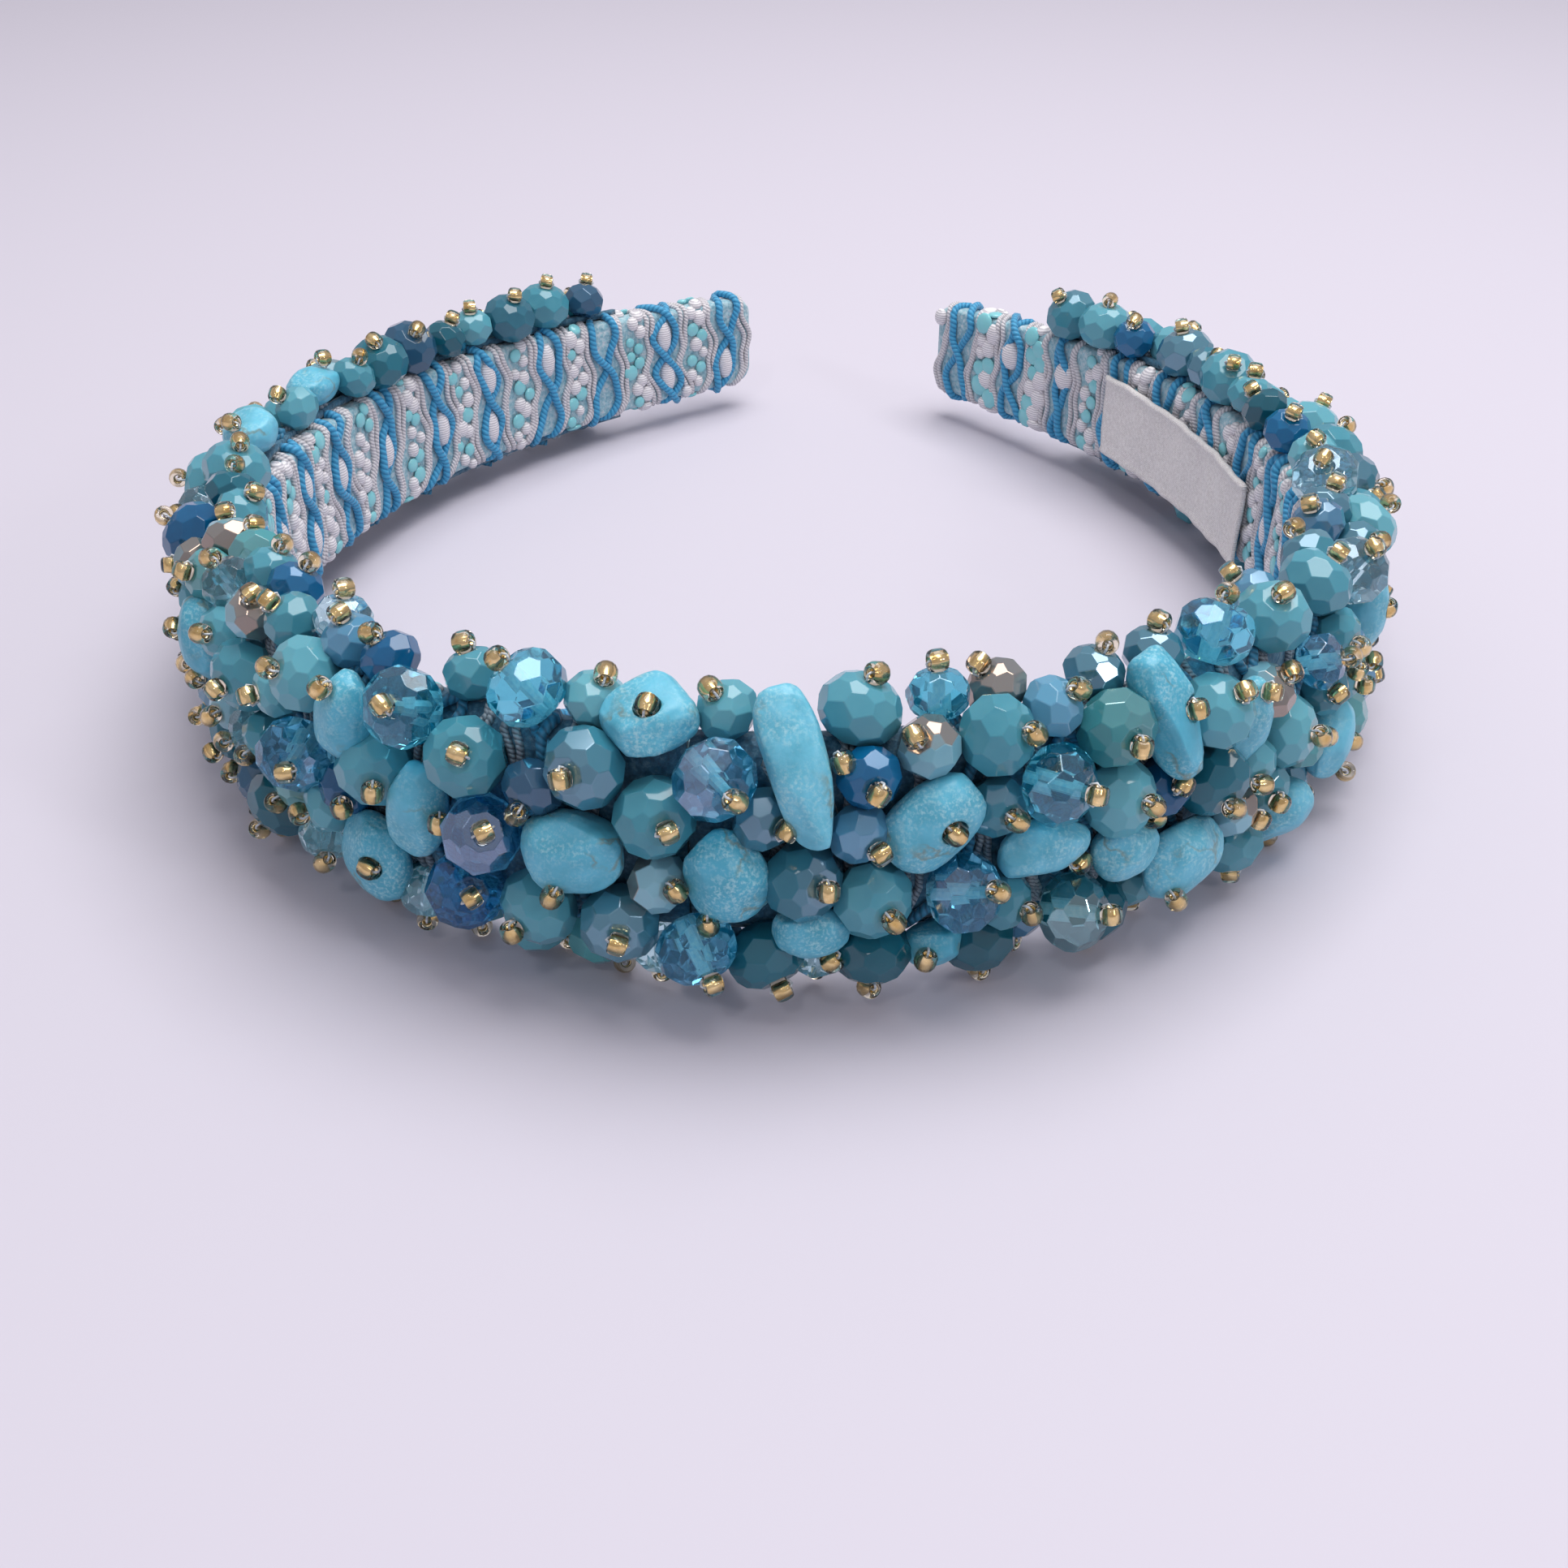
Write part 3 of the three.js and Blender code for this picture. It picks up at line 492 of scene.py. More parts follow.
def filling_beads():
    fixed = NUGGETS + CRYSTALS + CHARTED_BEADS
    loose = []
    per_row = int(2 * ROW_REACH / ROW_PITCH) + 1
    for row, share in enumerate(ROW_SHARES):
        for at in range(per_row):
            index = row * per_row + at
            along = -ROW_REACH + (at + 0.5 * (row % 2)) * ROW_PITCH + either_way(index, 0, 2)
            across = share * half_girth(along) + either_way(index, 1, 2)
            size = "large" if chance(index, 2) < LARGE_SHARE else "small"
            bead = rule_bead(index, size, along, across)
            clear = all(
                apart(bead, stone)[2] > TAKEN_SHARE * (footprint(bead) + footprint(stone))
                for stone in fixed
            )
            within = bead["across"] > -lower_reach(along) - EDGE_SPARE and abs(along) < ROW_REACH
            if clear and within:
                loose.append(bead)
    for _ in range(PUSH_ROUNDS):
        push_apart(loose, fixed)
    return loose


def gap_beads(stones):
    """Small beads for the places that the rows have left bare, the widest gap first."""
    grid = np.array([
        (along, across)
        for along in np.arange(-ROW_REACH, ROW_REACH, GAP_STEP)
        for across in np.arange(-lower_reach(along), half_girth(along), GAP_STEP)
    ])
    clear = np.full(len(grid), 99.0)

    def narrow(stone):
        along_step = (grid[:, 0] - stone["along"]) * stretch((grid[:, 0] + stone["along"]) / 2)
        distance = np.hypot(along_step, grid[:, 1] - stone["across"])
        np.minimum(clear, distance - footprint(stone), out=clear)

    for stone in stones:
        narrow(stone)
    added = []
    while clear.max() > GAP_SHARE * BEAD_SIZES["small"][0]:
        along, across = (float(value) for value in grid[clear.argmax()])
        added.append(rule_bead(GAP_INDEX + len(added), "small", along, across))
        narrow(added[-1])
    return added


def push_apart(loose, fixed):
    pushes = []
    for bead in loose:
        push_along = push_across = 0
        for other in fixed + loose:
            if other is bead:
                continue
            along_step, across_step, distance = apart(bead, other)
            overlap = footprint(bead) + footprint(other) + PUSH_GAP - distance
            if overlap > 0:
                share = LOOSE_SHARE if "index" in other else FIXED_SHARE
                share *= overlap / max(distance, 0.1)
                push_along -= along_step * share
                push_across -= across_step * share
        pushes.append((push_along, push_across))
    for bead, (push_along, push_across) in zip(loose, pushes):
        bead["along"] += limited(push_along, -1, 1)
        bead["across"] += limited(push_across, -1, 1)
        bead["across"] = min(half_girth(bead["along"]) * UPPER_SPILL, bead["across"])
        bead["across"] = max(-lower_reach(bead["along"]), bead["across"])
        bead["along"] = limited(bead["along"], -ROW_REACH, ROW_REACH)


# Meshes

class Pile:
    """Vertices, faces and face values of one mesh, gathered copy by copy."""

    def __init__(self):
        self.vertices = []
        self.faces = []
        self.slots = []
        self.smooth = []
        self.values = {}
        self.corners = []
        self.mapped = False
        self.count = 0

    def add(self, vertices, faces, slot=0, smooth=False, corners=None, **values):
        start = self.count
        self.vertices.append(np.asarray(vertices, dtype=float))
        self.count += len(vertices)
        self.faces.extend(tuple(start + corner for corner in face) for face in faces)
        self.slots.extend(slot if isinstance(slot, list) else [slot] * len(faces))
        self.smooth.extend([smooth] * len(faces))
        for name, value in values.items():
            value = value if hasattr(value, "__len__") else [value] * len(faces)
            self.values.setdefault(name, []).extend(value)
        self.corners.extend(corners or [(0, 0)] * sum(len(face) for face in faces))
        self.mapped = self.mapped or corners is not None

    def build(self, name, materials):
        """One object in the row frame."""
        points = moved(np.concatenate(self.vertices), PLACE)
        mesh = bpy.data.meshes.new(name)
        mesh.from_pydata(points.tolist(), [], self.faces)
        mesh.polygons.foreach_set("material_index", self.slots)
        mesh.polygons.foreach_set("use_smooth", self.smooth)
        for value_name, numbers in self.values.items():
            mesh.attributes.new(value_name, "FLOAT", "FACE").data.foreach_set("value", numbers)
        if self.mapped:
            layer = mesh.uv_layers.new(name="thread")
            layer.data.foreach_set("uv", np.asarray(self.corners, dtype=float).ravel())
        for material in materials:
            mesh.materials.append(material)
        mesh.update()
        piece = bpy.data.objects.new(name, mesh)
        bpy.context.scene.collection.objects.link(piece)
        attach(piece, "root")
        return piece


def axes_matrix(x_way, y_way, z_way):
    return Matrix((x_way, y_way, z_way)).transposed().to_4x4()


def moved(points, matrix):
    """Points of a shape after a 4 x 4 matrix."""
    turn = np.array(matrix.to_3x3())
    return np.asarray(points) @ turn.T + np.array(matrix.translation)


def read_mesh(bm):
    """Vertices and faces of a mesh, which is then freed."""
    bm.verts.index_update()
    vertices = np.array([vertex.co[:] for vertex in bm.verts])
    faces = [tuple(vertex.index for vertex in face.verts) for face in bm.faces]
    bm.free()
    return vertices, faces


def face_normals(vertices, faces):
    normals = []
    for face in faces:
        a, b, c = (Vector(vertices[corner]) for corner in face[:3])
        normals.append((b - a).cross(c - a).normalized())
    return normals


def grid_faces(rows, columns, close_rows=False, close_columns=False):
    """Quads between the points of a grid, which are listed row by row."""
    faces = []
    for row in range(rows if close_rows else rows - 1):
        for column in range(columns if close_columns else columns - 1):
            right = (column + 1) % columns
            below = (row + 1) % rows
            faces.append((
                row * columns + column,
                row * columns + right,
                below * columns + right,
                below * columns + column,
            ))
    return faces


def circle(sides):
    return [2 * math.pi * side / sides for side in range(sides)]


def with_next(items):
    """Each item of a ring with the one after it."""
    return zip(items, items[1:] + items[:1])


# Shapes of the stones

def cut_bead_shape(size):
    """A cut bead along +Z with facets on an ellipsoid, soft edges and a drilled hole."""
    radius, half = BEAD_SIZES[size]
    sides = BEAD_SIDES[size]
    bm = bmesh.new()
    bmesh.ops.create_cube(bm, size=4 * radius)
    planes = [(90, 0, half), (-90, 0, half)]
    for latitude, shift in FACET_ROWS:
        rise = math.radians(latitude)
        reach = math.hypot(radius * math.cos(rise), half * BEAD_SWELL * math.sin(rise)) * FACET_DEPTH
        planes += [(latitude, (side + shift) * 360 / sides, reach) for side in range(sides)]
    for latitude, turn, reach in planes:
        rise, turn = math.radians(latitude), math.radians(turn)
        flat = math.cos(rise)
        normal = Vector((flat * math.cos(turn), flat * math.sin(turn), math.sin(rise)))
        cut = bmesh.ops.bisect_plane(
            bm, geom=bm.verts[:] + bm.edges[:] + bm.faces[:], dist=1e-5,
            plane_co=normal * reach, plane_no=normal, clear_outer=True,
        )
        edges = [item for item in cut["geom_cut"] if isinstance(item, bmesh.types.BMEdge)]
        if edges:
            bmesh.ops.contextual_create(bm, geom=edges)
    bmesh.ops.remove_doubles(bm, verts=bm.verts[:], dist=0.02)
    bmesh.ops.bevel(
        bm, geom=bm.edges[:], offset=SOFT_EDGE, offset_type="OFFSET", segments=1,
        profile=0.5, affect="EDGES", clamp_overlap=True,
    )
    drill(bm, half)
    bmesh.ops.recalc_face_normals(bm, faces=bm.faces[:])
    return read_mesh(bm)


def join_rings(bm, first, second):
    for (a, b), (c, d) in zip(with_next(first), with_next(second)):
        bm.faces.new((a, b, d, c))


def drill(bm, half):
    """Opens a hole from table to table."""
    rings = []
    for side in (1, -1):
        table = max(bm.faces, key=lambda face: side * face.calc_center_median().z)
        outer = sorted(table.verts, key=lambda vertex: math.atan2(vertex.co.y, vertex.co.x))
        bm.faces.remove(table)
        inner = []
        for vertex in outer:
            angle = math.atan2(vertex.co.y, vertex.co.x)
            place = (BEAD_BORE * math.cos(angle), BEAD_BORE * math.sin(angle), side * (half - HOLE_LIP))
            inner.append(bm.verts.new(place))
        join_rings(bm, outer, inner)
        rings.append(inner)
    join_rings(bm, *rings)


def turned_shape(profile):
    """A closed profile of (place, radius) pairs, turned about X."""
    vertices = [
        (place, radius * math.cos(angle), radius * math.sin(angle))
        for place, radius in profile for angle in circle(SEED_SIDES)
    ]
    return np.array(vertices), grid_faces(len(profile), SEED_SIDES, close_rows=True, close_columns=True)


def seed_bead_shape():
    """A small round bead with its bore along X."""
    profile = []
    for step in range(SEED_STEPS + 1):
        angle = math.pi * step / SEED_STEPS
        place = math.cos(angle)
        profile.append((
            -SEED_HALF * math.copysign(abs(place) ** 0.7, place),
            SEED_BORE + (SEED_RADIUS - SEED_BORE) * math.sin(angle) ** 0.55,
        ))
    return turned_shape(profile)


def lining_shape():
    """The gilt lining of a seed bead's bore: a thin tube along X."""
    return turned_shape([
        (-LINING_HALF, LINING_OUTER), (LINING_HALF, LINING_OUTER),
        (LINING_HALF, LINING_INNER), (-LINING_HALF, LINING_INNER),
    ])


def tube(pile, points, radius, sides, slot=0):
    """A round cord along points, with its length and turn kept for its twist."""
    count = len(points)
    vertices = []
    lengths = [0.0]
    side_way = None
    for at, point in enumerate(points):
        ahead = points[min(at + 1, count - 1)] - points[max(at - 1, 0)]
        ahead.normalize()
        if side_way is None:
            side_way = ahead.orthogonal().normalized()
        side_way = (side_way - ahead * side_way.dot(ahead)).normalized()
        other_way = ahead.cross(side_way)
        if at:
            lengths.append(lengths[-1] + (point - points[at - 1]).length)
        for angle in circle(sides):
            x, y = radius * math.cos(angle), radius * math.sin(angle)
            vertices.append(point + side_way * x + other_way * y)
    faces = grid_faces(count, sides, close_columns=True)
    corners = []
    for start, stop in zip(lengths, lengths[1:]):
        for side in range(sides):
            low, high = side / sides, (side + 1) / sides
            corners += [(start, low), (start, high), (stop, high), (stop, low)]
    faces.append(tuple(range(sides))[::-1])
    faces.append(tuple((count - 1) * sides + side for side in range(sides)))
    corners += [(0, 0)] * (2 * sides)
    pile.add(vertices, faces, slot=slot, smooth=True, corners=corners)


# Materials

def paint(code):
    """Linear colour of a #RRGGBB code."""
    channels = [int(code[at:at + 2], 16) / 255 for at in (1, 3, 5)]
    return tuple(c / 12.92 if c <= 0.04045 else ((c + 0.055) / 1.055) ** 2.4 for c in channels) + (1,)


def node(tree, kind, inputs=None, **settings):
    """Adds a node. Each input is a value, or the socket that feeds it."""
    made = tree.nodes.new(kind)
    for name, value in settings.items():
        setattr(made, name, value)
    for socket, value in (inputs or {}).items():
        if isinstance(value, bpy.types.NodeSocket):
            tree.links.new(value, made.inputs[socket])
        else:
            made.inputs[socket].default_value = value
    return made


def ramp(tree, factor, stops):
    """Colour of a factor, from (place, #RRGGBB) stops."""
    made = node(tree, "ShaderNodeValToRGB", {0: factor})
    while len(made.color_ramp.elements) < len(stops):
        made.color_ramp.elements.new(0.5)
    for element, (place, code) in zip(made.color_ramp.elements, stops):
        element.position = place
        element.color = paint(code)
    return made.outputs[0]


def blend_colours(tree, factor, first, second, kind="MIX"):
    inputs = {0: factor, 6: first, 7: second}
    return node(tree, "ShaderNodeMix", inputs, data_type="RGBA", blend_type=kind).outputs[2]


def blend_shaders(tree, factor, first, second):
    inputs = {0: factor, 1: first.outputs[0], 2: second.outputs[0]}
    return node(tree, "ShaderNodeMixShader", inputs)


def maths(tree, operation, first, second=0.0, clamp=False):
    inputs = {0: first, 1: second}
    return node(tree, "ShaderNodeMath", inputs, operation=operation, use_clamp=clamp).outputs[0]


def product(tree, first, second, clamp=False):
    return maths(tree, "MULTIPLY", first, second, clamp)


def mask(tree, factor, low, high):
    """Black up to the low place, white from the high one."""
    return ramp(tree, factor, [(low, "#000000"), (high, "#FFFFFF")])


def tinted(tree, base, where, share, code):
    """A base with a share of one colour over the places that a mask shows."""
    return blend_colours(tree, product(tree, where, share), base, paint(code))


def face_value(tree, name):
    return node(tree, "ShaderNodeAttribute", attribute_name=name).outputs["Fac"]


def object_place(tree):
    return node(tree, "ShaderNodeTexCoord").outputs["Object"]


def thread_place(tree):
    """Length along a thread and turn round it, or the two ways over a cloth."""
    place = node(tree, "ShaderNodeUVMap", uv_map="thread").outputs[0]
    return node(tree, "ShaderNodeSeparateXYZ", {0: place}).outputs


def cloud(tree, scale, detail=3.0, roughness=0.5):
    """Soft noise in space. scale is in cells a metre."""
    return node(tree, "ShaderNodeTexNoise", {
        "Vector": object_place(tree), "Scale": scale, "Detail": detail, "Roughness": roughness,
    }).outputs["Fac"]


def bump(tree, height, strength, distance):
    return node(tree, "ShaderNodeBump", {
        "Height": height, "Strength": strength, "Distance": distance,
    }).outputs[0]


def new_material(name):
    material = bpy.data.materials.new(name)
    material.use_nodes = True
    material.node_tree.nodes.clear()
    return material, material.node_tree


def shown(material, shader):
    """The material, with a shader as its surface."""
    node(material.node_tree, "ShaderNodeOutputMaterial", {"Surface": shader.outputs[0]})
    return material


def principled(tree, **inputs):
    """A principled shader. Its inputs are named in lower case, with underscores."""
    named = {}
    for name, value in inputs.items():
        named[name.replace("_", " ").title().replace("Ior", "IOR")] = value
    return node(tree, "ShaderNodeBsdfPrincipled", named)


def coated(tree, shader, colour, share, metallic, roughness):
    """A shader under a pearly coat, which covers a share of the faces that are marked for it."""
    pearl = principled(tree, base_color=paint(colour), metallic=metallic, roughness=roughness)
    factor = product(tree, face_value(tree, "coat"), share, clamp=True)
    return blend_shaders(tree, factor, shader, pearl)


def opaque_glass(name, pale, middle, deep, coat_colour=None, coat_share=0.0):
    """Opaque cut glass, on some beads with a pearly coat over one side."""
    material, tree = new_material(name)
    tone = face_value(tree, "tone")
    base = ramp(tree, tone, [(0.0, deep), (0.5, middle), (1.0, pale)])
    base = tinted(tree, base, mask(tree, cloud(tree, 240), 0.4, 0.7), 0.3, pale)
    surface = principled(
        tree, base_color=base, roughness=0.07, ior=GLASS_IOR,
        subsurface_weight=0.1, subsurface_scale=0.001,
    )
    if coat_colour:
        surface = coated(tree, surface, coat_colour, coat_share, metallic=0.9, roughness=0.12)
    return shown(material, surface)


def clear_glass(name, tint, body, coat_colour, coat_share):
    """Clear cut glass with a faint painted glow all over and a stronger painted glow in its lower
    facets, where light gathers, and a pearly coat covers one side.
    """
    material, tree = new_material(name)
    # The emission is a painted glow of the body colour, standing in for light that reaches the glass
    # from all round.
    glass = principled(
        tree, base_color=paint(tint), roughness=0.0, transmission_weight=1.0, ior=GLASS_IOR,
        emission_color=paint(body), emission_strength=PAINTED_GLOW,
    )
    # Painted glow: the facets that face down take this lighter, glowing body colour.
    glowing = principled(
        tree, base_color=paint(body), roughness=0.05, ior=GLASS_IOR,
        subsurface_weight=1.0, subsurface_scale=0.003, subsurface_radius=(0.4, 0.9, 1.0),
    )
    painted_glow_share = product(tree, face_value(tree, "glow"), 0.12)
    surface = blend_shaders(tree, painted_glow_share, glass, glowing)
    surface = coated(tree, surface, coat_colour, coat_share, metallic=1.0, roughness=0.08)
    return shown(material, surface)


def bore_glass():
    """The ground surface of a clear bead's hole, which shows as pale lines, with a faint painted glow.
    """
    material, tree = new_material("bore_glass")
    base = ramp(tree, cloud(tree, 1800), [(0.35, "#BFE6F4"), (0.65, "#FFFFFF")])
    # The emission is a painted glow.
    ground = principled(
        tree, base_color=base, roughness=0.3, transmission_weight=0.35, ior=1.2,
        emission_color=paint("#CFEFF8"), emission_strength=PAINTED_GLOW,
    )
    return shown(material, ground)


def tumbled_stone():
    """Turquoise: frosted pale mottles, deeper patches and a few brown veins."""
    material, tree = new_material("tumbled_turquoise")
    tone = face_value(tree, "tone")
    base = ramp(tree, tone, [(0.0, "#4EABC6"), (0.5, "#60B8D2"), (1.0, "#72C4DC")])
    base = tinted(tree, base, mask(tree, cloud(tree, 330, 4), 0.38, 0.7), 0.5, "#348EA4")
    frost = mask(tree, cloud(tree, 2700, 4, 0.65), 0.47, 0.64)
    frosted = product(tree, frost, mask(tree, cloud(tree, 210, 2), 0.36, 0.58))
    base = tinted(tree, base, frosted, 0.62, "#B4DCE2")
    place = object_place(tree)
    warp = node(tree, "ShaderNodeTexNoise", {
        "Vector": place, "Scale": 420.0, "Detail": 3.0,
    }).outputs["Color"]
    veins = node(tree, "ShaderNodeTexVoronoi", {
        "Vector": blend_colours(tree, 0.004, place, warp, "ADD"), "Scale": 120.0,
    }, feature="DISTANCE_TO_EDGE").outputs["Distance"]
    line = ramp(tree, veins, [(0.0, "#FFFFFF"), (0.035, "#000000")])
    veined = product(tree, line, mask(tree, cloud(tree, 150, 2), 0.5, 0.6))
    base = tinted(tree, base, veined, 0.6, "#7C744F")
    rough = maths(tree, "ADD", product(tree, frosted, 0.25), 0.36)
    relief = maths(tree, "SUBTRACT", cloud(tree, 3000, 2), product(tree, veined, 0.8))
    stone = principled(
        tree, base_color=base, roughness=rough, subsurface_weight=0.06, subsurface_scale=0.001,
        normal=bump(tree, relief, 0.35, 0.00006),
    )
    return shown(material, stone)


def seed_glass():
    material, tree = new_material("seed_glass")
    glass = principled(
        tree, base_color=paint("#FFF4DC"), roughness=0.0, transmission_weight=1.0, ior=1.5,
    )
    return shown(material, glass)


def gilt_lining():
    material, tree = new_material("gilt_lining")
    base = ramp(tree, cloud(tree, 900), [(0.3, "#D6B878"), (0.7, "#F8E6BC")])
    gilt = principled(tree, base_color=base, metallic=1.0, roughness=0.2)
    return shown(material, gilt)


def cord_thread(name, pale, deep, pitch, roughness=0.55):
    """Twisted cord: slanted strands along its length, from the length and turn in `thread`."""
    material, tree = new_material(name)
    place = thread_place(tree)
    phase = maths(tree, "ADD", product(tree, place[0], 1 / pitch), place[1])
    strand = maths(tree, "SINE", product(tree, phase, 4 * math.pi))
    strand = maths(tree, "ADD", product(tree, strand, 0.5), 0.5)
    base = ramp(tree, strand, [(0.0, deep), (0.55, pale)])
    base = tinted(tree, base, cloud(tree, 500), 0.35, deep)
    thread = principled(
        tree, base_color=base, roughness=roughness, sheen_weight=0.25, sheen_roughness=0.4,
        normal=bump(tree, strand, 0.7, 0.00012),
    )
    return shown(material, thread)


def satin(name, pale, deep, roughness=0.35):
    """Satin-stitched thread: fine parallel strands."""
    material, tree = new_material(name)
    strands = node(tree, "ShaderNodeTexWave", {
        "Vector": object_place(tree), "Scale": 900.0,
        "Distortion": 2.0, "Detail": 2.0, "Detail Scale": 2.0,
    }, bands_direction="Z").outputs["Fac"]
    base = ramp(tree, strands, [(0.2, deep), (0.7, pale)])
    thread = principled(
        tree, base_color=base, roughness=roughness, sheen_weight=0.2,
        normal=bump(tree, strands, 0.35, 0.00008),
    )
    return shown(material, thread)


def base_cloth(name, colours):
    """Cloth between the stones: fine crossed thread with pale flecks of silver thread, painted lighter
    as glints.
    """
    material, tree = new_material(name)
    grain = cloud(tree, 1500, 4, 0.7)
    base = ramp(tree, grain, [(0.3, colours[0]), (0.52, colours[1]), (0.7, colours[2])])
    weave = node(tree, "ShaderNodeTexVoronoi", {
        "Vector": object_place(tree), "Scale": 1400.0,
    }).outputs["Distance"]
    cloth = principled(
        tree, base_color=base, roughness=0.6, sheen_weight=0.3,
        normal=bump(tree, weave, 0.8, 0.0002),
    )
    return shown(material, cloth)


def label_cloth():
    """Off-white woven cloth, with its threads crossing along and across the strip."""
    material, tree = new_material("label_cloth")
    place = thread_place(tree)
    waves = [maths(tree, "SINE", product(tree, place[axis], 2 * math.pi / 0.32)) for axis in (0, 1)]
    weave = product(tree, *waves)
    fibres = cloud(tree, 2500, 3)
    grain = maths(tree, "ADD", product(tree, weave, 0.2), fibres)
    base = ramp(tree, grain, [(0.3, "#DAD4D2"), (0.7, "#F2EEEC")])
    cloth = principled(
        tree, base_color=base, roughness=0.85, sheen_weight=0.25,
        normal=bump(tree, maths(tree, "ADD", weave, fibres), 0.5, 0.0001),
    )
    return shown(material, cloth)


FINISHES = {
    "turquoise": opaque_glass("glass_turquoise", "#64A8B6", "#4E94A6", "#3C8496"),
    "deep": opaque_glass("glass_deep", "#246E80", "#165C6E", "#0E4C5C"),
    "lustre": opaque_glass("glass_lustre", "#408496", "#327286", "#286276", "#8FA8BC", 0.42),
    "dusk": opaque_glass("glass_dusk", "#2E5C7A", "#244E6A", "#1E425A", "#6A8098", 0.3),
    "green": opaque_glass("glass_green", "#58A2A6", "#449098", "#368088", "#9CB8B8", 0.35),
    "sky": opaque_glass("glass_sky", "#5E9AB8", "#407CA0", "#2E688C", "#A4C0D4", 0.2),
    "azure": opaque_glass("glass_azure", "#0A70A0", "#045A88", "#034670", "#5C8CB0", 0.12),
    "bronze": opaque_glass("glass_bronze", "#8CBCCC", "#76AABA", "#6096A6", "#A48878", 0.8),
    "clear": clear_glass("crystal_pale", "#DCF4FA", "#80C0D4", "#B8D0E0", 0.15),
    "aqua": clear_glass("crystal_aqua", "#6CD2EA", "#048EB2", "#A4CCE0", 0.12),
    "violet": clear_glass("crystal_violet", "#84DAF2", "#0A98C4", "#B4C4DE", 0.42),
    "crystal_green": clear_glass("crystal_green", "#A4E6EE", "#1496AC", "#A8C6CC", 0.4),
    "crystal_azure": clear_glass("crystal_azure", "#50B4E4", "#0472A8", "#A8B8D4", 0.42),
}
BORE_GLASS = bore_glass()
STONE = tumbled_stone()
SEED_GLASS = seed_glass()
GILT = gilt_lining()
THREAD = satin("thread", "#D8DCE0", "#AEB8C0", 0.4)
BLUE_CORD = cord_thread("cord_blue", "#48A8D4", "#1F7CAA", 1.4)
GREY_CORD = cord_thread("cord_grey", "#E4E0E2", "#A8A6AE", 1.0, 0.4)
# Darker copies of the blue and grey cords for the beaded cloth: painted shade where they show between
# the stones.
SHADED_BLUE = cord_thread("cord_shaded_blue", "#2C7CA0", "#145470", 1.4)
SHADED_GREY = cord_thread("cord_shaded_grey", "#98A4AE", "#54626E", 1.0, 0.4)
WHITE_SATIN = satin("satin_white", "#F0ECEE", "#C2BEC4")
AQUA_SEQUIN = opaque_glass("sequin_aqua", "#96D6DC", "#7CC6CE", "#62B4C0")
BAND_CLOTH = base_cloth("band_cloth", ["#5C98AC", "#9CC0CA", "#D4D6DA"])
# The cloth under the stones is dark to paint the shade between them.
PAINTED_SHADE_CLOTH = base_cloth("field_cloth", ["#143C54", "#25607C", "#5E8496"])
LABEL_CLOTH = label_cloth()


# Stones in place

SHAPES = {size: cut_bead_shape(size) for size in BEAD_SIZES}
SHAPE_NORMALS = {size: face_normals(*shape) for size, shape in SHAPES.items()}
SEED_SHAPE = seed_bead_shape()
LINING_SHAPE = lining_shape()


def leaning_axis(bead, forward, upward, normal):
    toward = math.radians(bead["toward"])
    lean = math.radians(bead["lean"])
    leaning = upward * math.cos(toward) + forward * math.sin(toward)
    return normal * math.cos(lean) + leaning * math.sin(lean)


def settled(position, axis, reach):
    """The axis, turned up until a seed bead at its end clears the surface that the hoop lies on."""
    for _ in range(SETTLE_ROUNDS):
        if (PLACE @ (position + axis * reach)).z * 1000 > SEED_RADIUS + SEED_CLEAR:
            break
        axis = (axis + Vector((0, 0, SETTLE_STEP))).normalized()
    return axis


def raised(matrix, vertices):
    """The matrix, raised until the shape clears the surface that the hoop lies on."""
    lowest = moved(moved(vertices, matrix), PLACE)[:, 2].min() * 1000
    return Matrix.Translation((0, 0, max(0, FLOOR_GAP - lowest))) @ matrix


def bead_drop(bead):
    radius, half = BEAD_SIZES[bead["size"]]
    lean = math.radians(bead["lean"])
    table = half * math.cos(lean) + radius * TABLE_SHARE * math.sin(lean)
    girdle = half * GIRDLE_SHARE * math.cos(lean) + radius * math.sin(lean)
    return max(table, girdle)


def bead_matrix(bead, level, number):
    position, forward, upward, normal = seat_frame(bead["along"], bead["across"], level)
    half = BEAD_SIZES[bead["size"]][1]
    axis = settled(position, leaning_axis(bead, forward, upward, normal), half + SEED_SEAT)
    side = upward.cross(axis).normalized()
    turn = axes_matrix(side, axis.cross(side), axis)
    spun = turn @ Matrix.Rotation(any_turn(number, 11), 4, "Z")
    return raised(Matrix.Translation(position) @ spun, SHAPES[bead["size"]][0])


def coat_values(normals, matrix, number):
    """1 on the coated side of a bead, 0 on the other, face by face."""
    angle = any_turn(number, 12)
    lift = 1.6 * chance(number, 13) - 0.4
    way = Vector((math.cos(angle), math.sin(angle), lift)).normalized()
    turn = matrix.to_3x3()
    return [limited(0.5 + (turn @ normal).dot(way) * 2.2, 0.0, 1.0) for normal in normals]


def glow_values(normals, matrix):
    """Painted glow, more on the facets that face down, where a clear bead gathers the light from above.
    """
    turn = matrix.to_3x3()
    return [limited(0.5 - 0.7 * (turn @ normal).z, 0.15, 1.0) for normal in normals]


